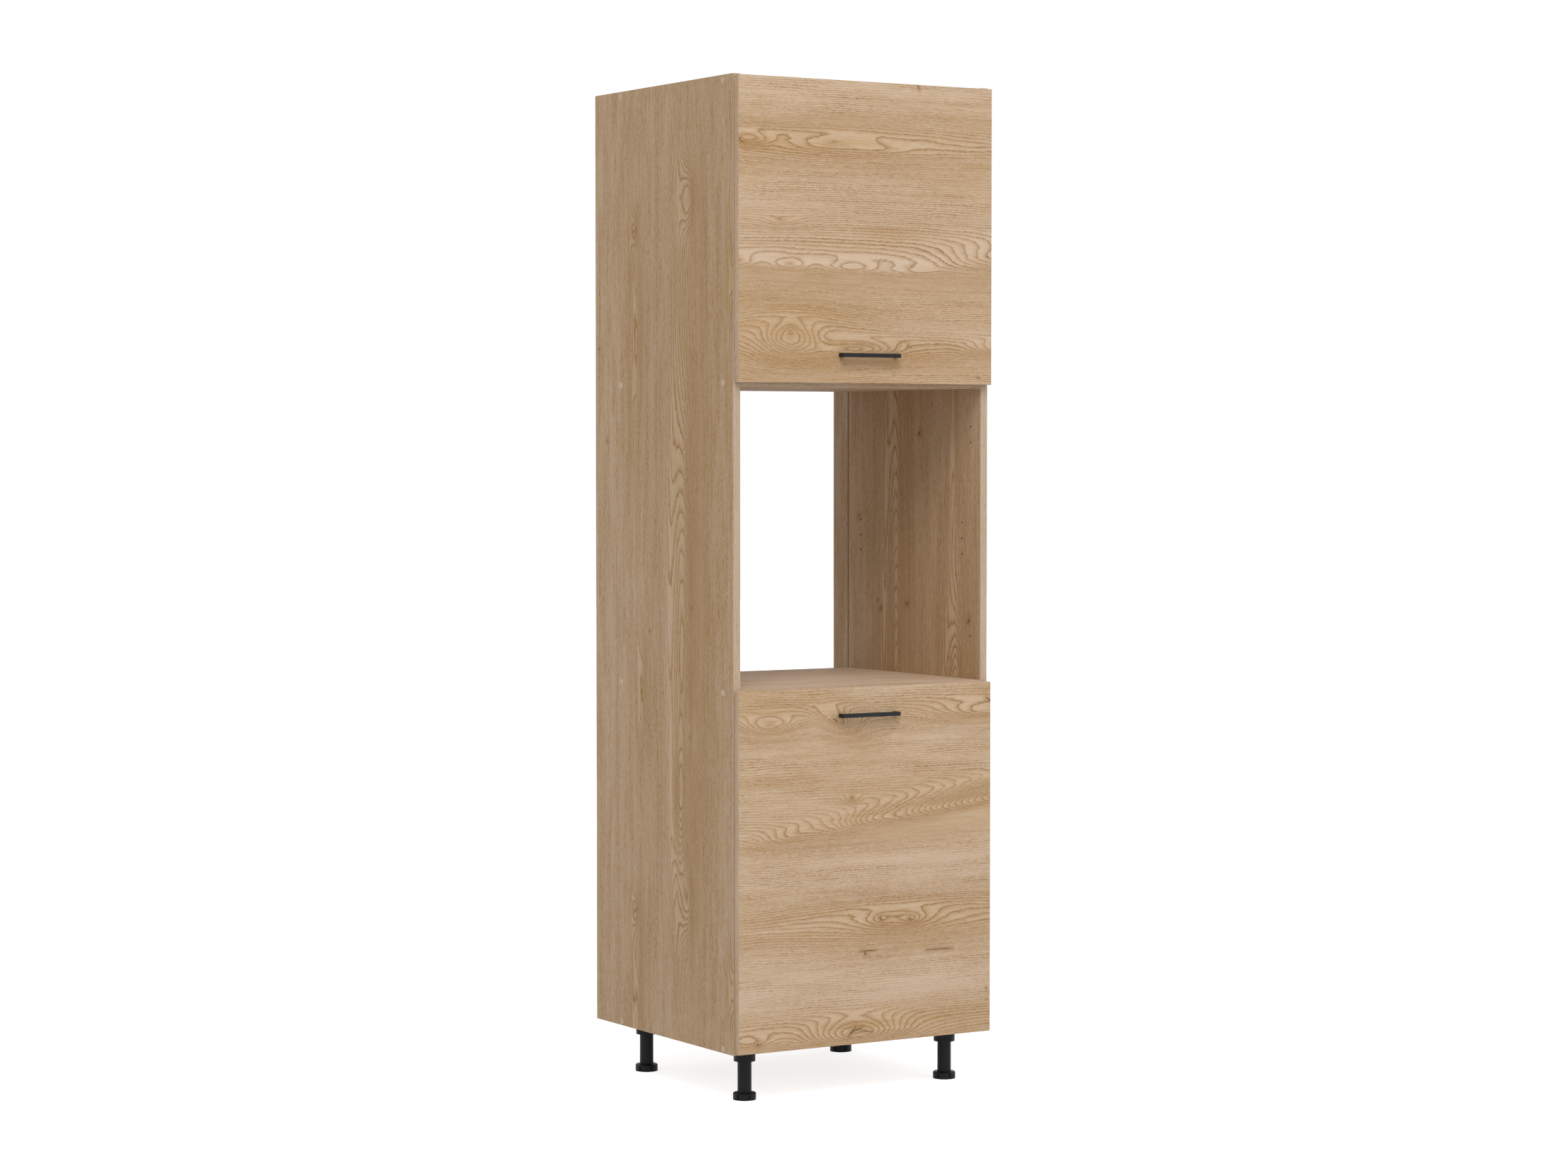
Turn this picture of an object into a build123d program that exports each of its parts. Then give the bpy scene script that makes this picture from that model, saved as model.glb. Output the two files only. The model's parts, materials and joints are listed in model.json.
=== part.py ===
from build123d import *
import os
from math import atan2, degrees, hypot

# Tall kitchen cabinet that houses a built-in oven. Millimetres, +Z up, the fronts face -Y.
# The origin is on the floor, under the middle of the whole outline with its handles.

# Carcass
WIDTH = 600.0               # outside, across both side panels
CARCASS_DEPTH = 560.0       # side panels, front edge to back edge
CARCASS_HEIGHT = 1920.0     # side panels, bottom edge to top edge
LEG_HEIGHT = 100.0          # floor to the carcass, feet screwed right in
BOARD = 16.0                # carcass board
LOWER_MODULE = 720.0        # carcass bottom to the niche floor
NICHE_MODULE = 600.0        # niche floor to the middle of the panel above the niche
TOP_DROP = 2.0              # top panel below the ends of the side panels
BACK_BOARD = 3.0            # thin back panels
BACK_RECESS = 57.0          # free depth behind the back panels
GROOVE_DEPTH = 8.0          # groove in the side panels for the back panels
GROOVE_PLAY = 0.2           # groove wall to back panel, each side
BACK_EDGE_PLAY = 0.5        # back panel's edge to the bottom of the groove
BACK_END_INSET = 2.0        # back panel's ends inside the outline of the panels it covers

# Fronts
FRONT_BOARD = 16.0
FRONT_STANDOFF = 2.0        # bumpers keep the fronts this far from the carcass
FRONT_SIDE_INSET = 2.0
FRONT_REVEAL = 3.0          # front's edge to the end of its module
EDGE_ROUND = 1.0
BUMPER_DIAMETER = 9.0
BUMPER_INSET = 30.0         # from the front's top or bottom edge

# Handles
HANDLE_HOLES = 128.0        # screw spacing
HANDLE_BAR = 8.0            # height of the bar and width of its legs
HANDLE_GRIP = 7.0           # depth of the bar
HANDLE_REACH = 18.0         # bar's outer face in front of the board
HANDLE_INSET = 55.5         # from the front's free edge
HANDLE_ROUND = 0.8
HANDLE_SCREW_GRIP = 7.0     # thread inside the handle's leg

# Assembly screws under flush covers
COVER_DIAMETER = 13.0
COVER_THICKNESS = 2.0
ASSEMBLY_HEAD = (5.0, 4.0)      # radius, height
ASSEMBLY_SHANK = (3.5, 44.0)    # radius, length
ASSEMBLY_FRONT_INSET = 40.0     # from the carcass front edge
ASSEMBLY_BACK_INSET = 48.0      # from the back edge of the horizontal panels

# Drilled rows for shelves
PEG_HOLE = 5.0              # diameter
PEG_HOLE_DEPTH = 12.0
ROW_PITCH = 32.0
ROW_FRONT_INSET = 67.0      # front column, from the carcass front edge
ROW_SPACING = 384.0         # front column to back column
NICHE_ROW_RISE = 287.0      # middle row above the niche floor
FIXING_INSET = 36.0         # column for fixing the appliance
FIXING_RISES = (87.5, 483.5, 515.5)     # above the niche floor

# Shelf in the upper compartment
SHELF_LEVER_GAP = 64.5      # top of the shelf below the ends of the lift levers
SHELF_SETBACK = 30.0        # from the carcass front edge
SHELF_PLAY = 1.0            # to the side panels and the back panel
PEG_REACH = 9.0             # free length of a shelf peg

# Flap hinges
HINGE_INSET = 100.0         # hinge centre from the side of the flap
HINGE_AXIS_DEPTH = 10.0     # pin below the back face of the flap
HINGE_AXIS_DROP = 6.5       # pin below the top edge of the flap
HINGE_PIN = 2.0             # diameter
HINGE_PLAY = 0.05           # running clearance round the pin
KNUCKLE = (3.8, 7.0)        # diameter, width
CUP_DIAMETER = 35.0
CUP_EDGE = 3.0              # cup to the top edge of the flap
CUP_DEPTH = 13.0
CUP_WALL = 0.8
CUP_FLANGE = (62.0, 24.0, 1.0)      # width, height, thickness
CUP_SCREW_SPACING = 48.0
ARM_SIZE = (16.0, 6.0)      # width, height
ARM_CLEARANCE = 1.6         # arm to the back of the opened flap
ARM_REACH = 56.0            # behind the carcass front edge
PLATE_THICKNESS = 3.0       # least thickness of the mounting plate
PLATE_SPAN = (14.0, 62.0)   # behind the carcass front edge
PLATE_WING = (50.0, 15.0)   # width, depth
PLATE_SCREW_SPACING = 32.0

# Flap lift stays: a lever and a link that stay parallel to the flap and to the housing
LIFT_PIVOT_BACK = 75.0      # lever's pivot behind the hinge pin
LIFT_PIVOT_DROP = 62.0      # lever's pivot below the hinge pin
LIFT_STUD_STANDOFF = 16.0   # link's pivot behind the back face of the flap
LIFT_STUD_DROP = 170.0      # link's pivot below the hinge pin
LIFT_HOUSING = (22.0, 104.0, 72.0)      # thickness, depth, height
LIFT_HOUSING_ROUND = 4.0
LIFT_PLATE = 3.0            # lever and link thickness
LEVER_WIDTH = 16.0
LINK_WIDTH = 13.0
LIFT_GAP = 0.4              # side clearance between the moving plates
LEVER_PIN = 8.0             # diameters
LINK_PIN = 6.0
PIN_HEAD = (2.0, 1.2)       # head beyond the pin's radius, head height
LIFT_PLAY = 0.05
STUD_PLATE = (30.0, 46.0, 2.0)      # flap bracket's base: width, height, thickness
STUD_EAR = 2.5
STUD_SCREW_SPACING = 28.0
STUD_SCREW_SHARE = 2 / 3        # screws across the base's width, from the ear
HOUSING_SCREW_SHARES = (1 / 4, 1 / 3)   # of the depth behind the pivot, of the height above and below

# Pull-out box and its runners
BOX_BOARD = 16.0
BOX_HEIGHT = 320.0
BOX_FLOOR_GAP = 14.0        # above the bottom panel
BOX_BACK_GAP = 42.0         # to the back panel
RUNNER_SPACE = 12.7         # side panel to box
RUNNER_HEIGHT = 45.0
RUNNER_STEEL = 1.2
RUNNER_PLAY = 0.4           # between the nested rails
RUNNER_RISE = 90.0          # runner's middle above the underside of the box
RUNNER_SETBACK = 3.0        # behind the carcass front edge
RUNNER_BACK_GAP = 47.0      # to the back panel
RUNNER_SCREW_INSET = 40.0   # from the ends of a rail
FRONT_SCREW_INSETS = (60.0, 50.0)   # from the box's side and from its top and bottom edges

# Legs
LEG_SIDE_INSET = 61.5       # axis from the outside of the side panel
LEG_FRONT_INSET = 61.0      # axis from the carcass front edge
LEG_BACK_INSET = 102.0      # axis from the carcass back edge
SOCKET_DIAMETER = 47.0
SOCKET_HEIGHT = 23.0
SOCKET_ROOF = 3.0           # above the tube
SOCKET_RECESS = 1.8         # depth of the two recesses round the socket
SOCKET_RECESS_SPAN = 93.0   # degrees
SOCKET_RECESS_TURN = 210.0  # where the front recess starts, degrees from +X
SOCKET_SCREW_TURNS = (65.0, 115.0, 245.0, 295.0)    # degrees from +X
TUBE_DIAMETER = 28.0
TUBE_WALL = 2.5
TUBE_END = 12.0             # threaded end wall
FOOT_DIAMETER = 46.0
FOOT_HEIGHT = 14.0
FOOT_CHAMFER = 1.5
FOOT_NOTCHES = 6
FOOT_NOTCH = (3.0, 2.5, 11.0)       # width, depth, height
FOOT_NOTCH_TURN = -5.0      # first notch, degrees from straight ahead
SPINDLE_DIAMETER = 12.0
SPINDLE_LENGTH = 46.0
SPINDLE_PLAY = 0.05

# Wall brackets
BRACKET_STEEL = 2.0
BRACKET_LEG = 42.0
BRACKET_HEIGHT = 40.0
BRACKET_DROP = 34.0         # below the top of the side panels
BRACKET_HOLE = 8.0          # diameter
BRACKET_HOLE_INSET = 24.0   # from the side panel

# Wood screws for the fittings: shank radius, shank length, head radius, head height
SMALL_SCREW = (1.75, 11.0, 3.2, 1.3)
PLATE_SCREW = (3.0, 11.0, 4.0, 1.5)
HANDLE_SCREW_HEAD = (4.0, 2.4)
HANDLE_SCREW_RADIUS = 2.0
FRONT_SCREW_HEAD = (4.0, 2.0)
FRONT_SCREW_RADIUS = 2.0
FRONT_SCREW_SHARE = 2 / 3       # of the front's thickness

# Planes and spans worked out from the sizes above
HALF = WIDTH / 2
INNER = HALF - BOARD
DEPTH = CARCASS_DEPTH + FRONT_STANDOFF + FRONT_BOARD + HANDLE_REACH
Y_BACK = DEPTH / 2
Y_EDGE = Y_BACK - CARCASS_DEPTH             # front edges of the carcass
Y_REAR_FACE = Y_EDGE - FRONT_STANDOFF       # back faces of the fronts
Y_FACE = Y_REAR_FACE - FRONT_BOARD          # front faces of the fronts
Y_PANEL_END = Y_BACK - BACK_RECESS - BACK_BOARD     # back edges of the horizontal panels
Z_BASE = LEG_HEIGHT
Z_TOP = Z_BASE + CARCASS_HEIGHT
Z_NICHE = Z_BASE + LOWER_MODULE
Z_UPPER = Z_NICHE + NICHE_MODULE
PANEL_Y = (Y_EDGE, Y_PANEL_END)
BOTTOM_Z = (Z_BASE, Z_BASE + BOARD)
NICHE_FLOOR_Z = (Z_NICHE - BOARD, Z_NICHE)
NICHE_TOP_Z = (Z_UPPER - BOARD / 2, Z_UPPER + BOARD / 2)
TOP_Z = (Z_TOP - TOP_DROP - BOARD, Z_TOP - TOP_DROP)
LOWER_FRONT_Z = (Z_BASE + FRONT_REVEAL, Z_NICHE - FRONT_REVEAL)
UPPER_FRONT_Z = (Z_UPPER, Z_TOP - FRONT_REVEAL)
FRONT_HALF = HALF - FRONT_SIDE_INSET
ROW_Y = (Y_EDGE + ROW_FRONT_INSET, Y_EDGE + ROW_FRONT_INSET + ROW_SPACING)


# Basic shapes
def block(x, y, z):
    """Square block between three pairs of coordinates."""
    spans = (x, y, z)
    middle = [(low + high) / 2 for low, high in spans]
    return Pos(*middle) * Box(*[high - low for low, high in spans])


def rod_x(x, y, z, radius):
    """Round bar along X between a pair of coordinates."""
    return Pos((x[0] + x[1]) / 2, y, z) * Rot(0, 90, 0) * Cylinder(radius, x[1] - x[0])


def rod_y(x, y, z, radius):
    """Round bar along Y between a pair of coordinates."""
    return Pos(x, (y[0] + y[1]) / 2, z) * Rot(90, 0, 0) * Cylinder(radius, y[1] - y[0])


def rod_z(x, y, z, radius):
    """Round bar along Z between a pair of coordinates."""
    return Pos(x, y, (z[0] + z[1]) / 2) * Cylinder(radius, z[1] - z[0])


def screw(size):
    """Screw along +Z: the shank starts at the origin and the head lies below it."""
    shank_radius, shank_length, head_radius, head_height = size
    shank = rod_z(0, 0, (0, shank_length), shank_radius)
    return shank + rod_z(0, 0, (-head_height, 0), head_radius)


def mirrored(shape):
    """The same shape on the other side of the cabinet."""
    return mirror(shape, about=Plane.YZ)


def both(shapes):
    """Shapes of the left side with their twins on the right."""
    return list(shapes) + [mirrored(shape) for shape in shapes]


def group(shapes):
    """Separate solids that share one node."""
    return Compound([solid for shape in shapes for solid in shape.solids()])


def cut(shape, tools):
    """Shape with each tool taken out of it."""
    for tool in tools:
        shape = shape - tool
    return shape


def save(name, shape):
    export_step(shape, f"parts/{name}.step")


def save_pair(name, left):
    """A left piece and its mirror image, each in its own node."""
    save(f"left_{name}", left)
    save(f"right_{name}", mirrored(left))


# Assembly screws and covers, left side; the head lies under the cover
def assembly_places():
    """Middle of each joint between the left side panel and a horizontal panel."""
    rows = (Y_EDGE + ASSEMBLY_FRONT_INSET, Y_PANEL_END - ASSEMBLY_BACK_INSET)
    heights = [sum(z) / 2 for z in (BOTTOM_Z, NICHE_FLOOR_Z, NICHE_TOP_Z, TOP_Z)]
    return [(y, z) for z in heights for y in rows]


def assembly_screw(y, z):
    head_radius, head_height = ASSEMBLY_HEAD
    shank_radius, shank_length = ASSEMBLY_SHANK
    head_start = -HALF + COVER_THICKNESS
    head_end = head_start + head_height
    head = rod_x((head_start, head_end), y, z, head_radius)
    return head + rod_x((head_end, head_end + shank_length), y, z, shank_radius)


def screw_cover(y, z):
    return rod_x((-HALF, -HALF + COVER_THICKNESS), y, z, COVER_DIAMETER / 2)


# Legs, four alike, all turned the same way
LEG_X = HALF - LEG_SIDE_INSET
LEG_Y = {"front": Y_EDGE + LEG_FRONT_INSET, "back": Y_BACK - LEG_BACK_INSET}
LEG_SIDES = {"left": -LEG_X, "right": LEG_X}
LEG_PLACES = {f"{side}_{row}": (x, y) for side, x in LEG_SIDES.items() for row, y in LEG_Y.items()}
RECESS_RADIUS = SOCKET_DIAMETER / 2 - SOCKET_RECESS
LEG_SCREW_RADIUS = (RECESS_RADIUS + TUBE_DIAMETER / 2) / 2      # middle of the wall behind a recess


def leg_screws(place):
    """Four screws that hold one socket to the bottom panel."""
    middle = Pos(*place, Z_BASE - SOCKET_ROOF)
    ring = [Rot(0, 0, turn) * Pos(LEG_SCREW_RADIUS, 0, 0) for turn in SOCKET_SCREW_TURNS]
    return [middle * spot * screw(SMALL_SCREW) for spot in ring]


def leg_socket(place):
    """Round socket under the bottom panel, with a recess in front and one behind."""
    radius = SOCKET_DIAMETER / 2
    skirt_height = SOCKET_HEIGHT - SOCKET_ROOF
    skirt = Pos(*place, Z_BASE - SOCKET_ROOF - skirt_height / 2)
    body = rod_z(*place, (Z_BASE - SOCKET_ROOF, Z_BASE), radius)
    body += skirt * Cylinder(RECESS_RADIUS, skirt_height)
    for turn in (SOCKET_RECESS_TURN, SOCKET_RECESS_TURN + 180):
        lobe = Cylinder(radius, skirt_height, arc_size=180 - SOCKET_RECESS_SPAN)
        body += skirt * Rot(0, 0, turn + SOCKET_RECESS_SPAN) * lobe
    body -= skirt * Cylinder(TUBE_DIAMETER / 2, skirt_height)
    for turn in SOCKET_SCREW_TURNS:
        shaft = Pos(LEG_SCREW_RADIUS, 0, 0) * Cylinder(SMALL_SCREW[2], skirt_height)
        body -= skirt * Rot(0, 0, turn) * shaft
    return cut(body, leg_screws(place))


def leg_tube(place):
    """Hollow tube with a threaded end for the foot's spindle."""
    z = (FOOT_HEIGHT, Z_BASE - SOCKET_ROOF)
    tube = rod_z(*place, z, TUBE_DIAMETER / 2)
    tube -= rod_z(*place, (FOOT_HEIGHT + TUBE_END, z[1]), TUBE_DIAMETER / 2 - TUBE_WALL)
    return tube - rod_z(*place, z, SPINDLE_DIAMETER / 2 + SPINDLE_PLAY)


def leg_foot(place):
    """Notched foot with the spindle that levels the cabinet."""
    radius = FOOT_DIAMETER / 2
    disc = rod_z(0, 0, (0, FOOT_HEIGHT), radius)
    disc = chamfer(disc.edges().group_by(Axis.Z)[-1], FOOT_CHAMFER)
    width, depth, height = FOOT_NOTCH
    notch = block((-width / 2, width / 2), (-2 * radius, depth - radius), (0, height))
    for number in range(FOOT_NOTCHES):
        disc -= Rot(0, 0, FOOT_NOTCH_TURN + number * 360 / FOOT_NOTCHES) * notch
    disc += rod_z(0, 0, (FOOT_HEIGHT / 2, FOOT_HEIGHT + SPINDLE_LENGTH), SPINDLE_DIAMETER / 2)
    return Pos(*place, 0) * disc


# Wall brackets, left one, in the free depth behind the upper back panel
BRACKET_Z = (Z_TOP - BRACKET_DROP - BRACKET_HEIGHT, Z_TOP - BRACKET_DROP)
BRACKET_SCREW_PLACE = (Y_BACK - BRACKET_LEG / 2, sum(BRACKET_Z) / 2)


def wall_bracket_screw():
    y, z = BRACKET_SCREW_PLACE
    return Pos(-INNER + BRACKET_STEEL, y, z) * Rot(0, -90, 0) * screw(SMALL_SCREW)


def wall_bracket():
    side = block((-INNER, -INNER + BRACKET_STEEL), (Y_BACK - BRACKET_LEG, Y_BACK), BRACKET_Z)
    wall_y = (Y_BACK - BRACKET_STEEL, Y_BACK)
    wall = block((-INNER, -INNER + BRACKET_LEG), wall_y, BRACKET_Z)
    hole_x = -INNER + BRACKET_HOLE_INSET
    hole = rod_y(hole_x, wall_y, sum(BRACKET_Z) / 2, BRACKET_HOLE / 2)
    return side + wall - hole - wall_bracket_screw()


# Flap hinge, left one: the pin's axis is the axis of the flap
HINGE_X = -(FRONT_HALF - HINGE_INSET)
HINGE_Y = Y_REAR_FACE - HINGE_AXIS_DEPTH
HINGE_Z = UPPER_FRONT_Z[1] - HINGE_AXIS_DROP
CUP_Z = UPPER_FRONT_Z[1] - CUP_EDGE - CUP_DIAMETER / 2
CUP_RADIUS = CUP_DIAMETER / 2
CUP_FLOOR_Y = Y_REAR_FACE - CUP_DEPTH
CUP_INNER = CUP_RADIUS - CUP_WALL
ARM_TOP = min(HINGE_Z - HINGE_AXIS_DEPTH - ARM_CLEARANCE, TOP_Z[0] - PLATE_THICKNESS)


def hinge_pin():
    """Pin across the cup, its ends in the cup's wall."""
    rise = HINGE_Z - CUP_Z + HINGE_PIN / 2
    half_length = (CUP_RADIUS**2 - rise**2) ** 0.5 - CUP_WALL / 4
    return rod_x((HINGE_X - half_length, HINGE_X + half_length), HINGE_Y, HINGE_Z, HINGE_PIN / 2)


def cup_screws():
    face = Y_REAR_FACE + CUP_FLANGE[2]
    places = (HINGE_X - CUP_SCREW_SPACING / 2, HINGE_X + CUP_SCREW_SPACING / 2)
    return [Pos(x, face, CUP_Z) * Rot(90, 0, 0) * screw(SMALL_SCREW) for x in places]


def hinge_cup():
    """Cup sunk in the back of the flap, with a flange on the surface."""
    width, height, thickness = CUP_FLANGE
    flange_y = (Y_REAR_FACE, Y_REAR_FACE + thickness)
    flange_x = (HINGE_X - width / 2, HINGE_X + width / 2)
    flange = block(flange_x, flange_y, (CUP_Z - height / 2, CUP_Z + height / 2))
    cup = flange + rod_y(HINGE_X, (CUP_FLOOR_Y, flange_y[1]), CUP_Z, CUP_RADIUS)
    cup -= rod_y(HINGE_X, (CUP_FLOOR_Y + CUP_WALL, flange_y[1]), CUP_Z, CUP_INNER)
    return cut(cup, [hinge_pin()] + cup_screws())


def hinge_arm():
    """Arm on the mounting plate, cranked into the cup to its knuckle on the pin."""
    diameter, width = KNUCKLE
    knuckle_x = (HINGE_X - width / 2, HINGE_X + width / 2)
    neck_y = (HINGE_Y - diameter / 2, HINGE_Y + diameter / 2)
    knuckle = rod_x(knuckle_x, HINGE_Y, HINGE_Z, diameter / 2)
    neck = block(knuckle_x, neck_y, (ARM_TOP - ARM_SIZE[1], HINGE_Z))
    bar_x = (HINGE_X - ARM_SIZE[0] / 2, HINGE_X + ARM_SIZE[0] / 2)
    bar = block(bar_x, (neck_y[0], Y_EDGE + ARM_REACH), (ARM_TOP - ARM_SIZE[1], ARM_TOP))
    bore = rod_x(knuckle_x, HINGE_Y, HINGE_Z, HINGE_PIN / 2 + HINGE_PLAY)
    return knuckle + neck + bar - bore


PLATE_Y = (Y_EDGE + PLATE_SPAN[0], Y_EDGE + PLATE_SPAN[1])


def plate_screws():
    """Two screws up through the wings into the top panel."""
    places = (HINGE_X - PLATE_SCREW_SPACING / 2, HINGE_X + PLATE_SCREW_SPACING / 2)
    return [Pos(x, sum(PLATE_Y) / 2, ARM_TOP) * screw(PLATE_SCREW) for x in places]


def hinge_plate():
    """Cross-shaped mounting plate under the top panel."""
    middle = sum(PLATE_Y) / 2
    z = (ARM_TOP, TOP_Z[0])
    bar = block((HINGE_X - ARM_SIZE[0] / 2, HINGE_X + ARM_SIZE[0] / 2), PLATE_Y, z)
    width, depth = PLATE_WING
    wing_x = (HINGE_X - width / 2, HINGE_X + width / 2)
    wing = block(wing_x, (middle - depth / 2, middle + depth / 2), z)
    return cut(bar + wing, plate_screws())


# Flap lift stay, left one. Lever and link make a parallelogram with the hinge pin,
# so the lever turns as far as the flap and the link keeps its direction.
LEVER_Y = HINGE_Y + LIFT_PIVOT_BACK
LEVER_Z = HINGE_Z - LIFT_PIVOT_DROP
STUD_Y = Y_REAR_FACE + LIFT_STUD_STANDOFF
STUD_Z = HINGE_Z - LIFT_STUD_DROP
KNEE_Y = LEVER_Y + STUD_Y - HINGE_Y
KNEE_Z = LEVER_Z + STUD_Z - HINGE_Z
HOUSING_X = (-INNER, -INNER + LIFT_HOUSING[0])
LEVER_X = (HOUSING_X[1] + LIFT_GAP, HOUSING_X[1] + LIFT_GAP + LIFT_PLATE)
LINK_X = (LEVER_X[1] + LIFT_GAP, LEVER_X[1] + LIFT_GAP + LIFT_PLATE)
EAR_X = (LINK_X[1] + LIFT_GAP, LINK_X[1] + LIFT_GAP + STUD_EAR)


def strap(x, start, end, width):
    """Flat bar with round ends between two points of a plane across X."""
    run = (end[0] - start[0], end[1] - start[1])
    outline = SlotCenterToCenter(hypot(*run), width)
    outline = Rot(0, 0, degrees(atan2(run[1], run[0]))) * outline
    outline = Pos((start[0] + end[0]) / 2, (start[1] + end[1]) / 2) * outline
    return extrude(Plane.YZ.offset(x[0]) * outline, x[1] - x[0])


def headed_pin(root_x, plate_x, y, z, diameter):
    """Pin that runs through a moving plate and holds it with a head."""
    rim, height = PIN_HEAD
    neck_end = plate_x[1] + LIFT_GAP / 2
    pin = rod_x((root_x, neck_end), y, z, diameter / 2)
    return pin + rod_x((neck_end, neck_end + height), y, z, diameter / 2 + rim)


def housing_screws():
    """Two screws through the housing's rear end into the side panel."""
    y = LEVER_Y + LIFT_HOUSING[1] * HOUSING_SCREW_SHARES[0]
    rise = LIFT_HOUSING[2] * HOUSING_SCREW_SHARES[1]
    size = (SMALL_SCREW[0], LIFT_HOUSING[0] + BOARD / 2, SMALL_SCREW[2], SMALL_SCREW[3])
    places = (LEVER_Z - rise, LEVER_Z + rise)
    sunk = HOUSING_X[1] - SMALL_SCREW[3]
    return [Pos(sunk, y, z) * Rot(0, -90, 0) * screw(size) for z in places]


def lift_housing():
    """Spring housing on the side panel, with the lever's pin."""
    depth, height = LIFT_HOUSING[1:]
    y = (LEVER_Y - depth / 2, LEVER_Y + depth / 2)
    z = (LEVER_Z - height / 2, LEVER_Z + height / 2)
    case = block(HOUSING_X, y, z)
    case = fillet(case.edges().filter_by(Axis.X), LIFT_HOUSING_ROUND)
    case = cut(case, housing_screws())
    return case + headed_pin(HOUSING_X[1], LEVER_X, LEVER_Y, LEVER_Z, LEVER_PIN)


def lift_lever():
    """Lever from the housing to the knee, with the knee's pin."""
    lever = strap(LEVER_X, (LEVER_Y, LEVER_Z), (KNEE_Y, KNEE_Z), LEVER_WIDTH)
    lever -= rod_x(LEVER_X, LEVER_Y, LEVER_Z, LEVER_PIN / 2 + LIFT_PLAY)
    return lever + headed_pin(LEVER_X[1], LINK_X, KNEE_Y, KNEE_Z, LINK_PIN)


def lift_link():
    """Link from the knee to the stud on the flap."""
    link = strap(LINK_X, (KNEE_Y, KNEE_Z), (STUD_Y, STUD_Z), LINK_WIDTH)
    for y, z in ((KNEE_Y, KNEE_Z), (STUD_Y, STUD_Z)):
        link -= rod_x(LINK_X, y, z, LINK_PIN / 2 + LIFT_PLAY)
    return link


def stud_screws():
    """Two screws through the bracket's base into the flap."""
    face = Y_REAR_FACE + STUD_PLATE[2]
    x = EAR_X[0] + STUD_PLATE[0] * STUD_SCREW_SHARE
    places = (STUD_Z - STUD_SCREW_SPACING / 2, STUD_Z + STUD_SCREW_SPACING / 2)
    return [Pos(x, face, z) * Rot(90, 0, 0) * screw(SMALL_SCREW) for z in places]


def flap_bracket():
    """Bracket on the flap: base, ear and the stud that carries the link."""
    width, height, thickness = STUD_PLATE
    base_y = (Y_REAR_FACE, Y_REAR_FACE + thickness)
    base_x = (EAR_X[0], EAR_X[0] + width)
    base = block(base_x, base_y, (STUD_Z - height / 2, STUD_Z + height / 2))
    ear_z = (STUD_Z - LEVER_WIDTH / 2, STUD_Z + LEVER_WIDTH / 2)
    ear = block(EAR_X, (Y_REAR_FACE, STUD_Y), ear_z)
    ear += rod_x(EAR_X, STUD_Y, STUD_Z, LEVER_WIDTH / 2)
    stud = rod_x((LINK_X[0], EAR_X[0]), STUD_Y, STUD_Z, LINK_PIN / 2)
    return cut(base + ear + stud, stud_screws())


# Shelf below the lift levers, on pegs in the same columns as the niche's rows
SHELF_TOP = KNEE_Z - LEVER_WIDTH / 2 - SHELF_LEVER_GAP
SHELF_Z = (SHELF_TOP - BOARD, SHELF_TOP)


def shelf_peg(y):
    """Peg of the left side, half in the side panel and half under the shelf."""
    x = (-INNER - PEG_HOLE_DEPTH, -INNER + PEG_REACH)
    return rod_x(x, y, SHELF_Z[0] - PEG_HOLE / 2, PEG_HOLE / 2)


def upper_shelf():
    half = INNER - SHELF_PLAY
    y = (Y_EDGE + SHELF_SETBACK, Y_PANEL_END - SHELF_PLAY)
    return block((-half, half), y, SHELF_Z)


# Handles and fronts
def handle(z):
    """Bow handle: a square bar with a leg at each end."""
    half_length = (HANDLE_HOLES + HANDLE_BAR) / 2
    half_gap = (HANDLE_HOLES - HANDLE_BAR) / 2
    y = (Y_FACE - HANDLE_REACH, Y_FACE)
    height = (z - HANDLE_BAR / 2, z + HANDLE_BAR / 2)
    bow = fillet(block((-half_length, half_length), y, height).edges(), HANDLE_ROUND)
    bow -= block((-half_gap, half_gap), (y[0] + HANDLE_GRIP, y[1]), height)
    return cut(bow, handle_screws(z))


def handle_screws(z):
    """Two screws from the back of the front into the handle's legs."""
    size = (HANDLE_SCREW_RADIUS, FRONT_BOARD + HANDLE_SCREW_GRIP) + HANDLE_SCREW_HEAD
    places = (-HANDLE_HOLES / 2, HANDLE_HOLES / 2)
    return [Pos(x, Y_REAR_FACE, z) * Rot(90, 0, 0) * screw(size) for x in places]


def front_board(z):
    board = block((-FRONT_HALF, FRONT_HALF), (Y_FACE, Y_REAR_FACE), z)
    return fillet(board.edges(), EDGE_ROUND)


def bumper(z):
    """Soft pad on the front edge of the left side panel."""
    return rod_y(-HALF + BOARD / 2, (Y_REAR_FACE, Y_EDGE), z, BUMPER_DIAMETER / 2)


# Pull-out box on three-part runners
BOX_HALF = INNER - RUNNER_SPACE
BOX_Y = (Y_REAR_FACE, Y_PANEL_END - BOX_BACK_GAP)
BOX_Z = (BOTTOM_Z[1] + BOX_FLOOR_GAP, BOTTOM_Z[1] + BOX_FLOOR_GAP + BOX_HEIGHT)
RUNNER_Y = (Y_EDGE + RUNNER_SETBACK, Y_PANEL_END - RUNNER_BACK_GAP)
RUNNER_Z = BOX_Z[0] + RUNNER_RISE
RUNNER_SCREW_Y = (RUNNER_Y[0] + RUNNER_SCREW_INSET, RUNNER_Y[1] - RUNNER_SCREW_INSET)
CABINET_RAIL_HALF = RUNNER_HEIGHT / 2
MIDDLE_RAIL_HALF = CABINET_RAIL_HALF - RUNNER_STEEL - RUNNER_PLAY
DRAWER_RAIL_HALF = MIDDLE_RAIL_HALF - RUNNER_STEEL - RUNNER_PLAY


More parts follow.
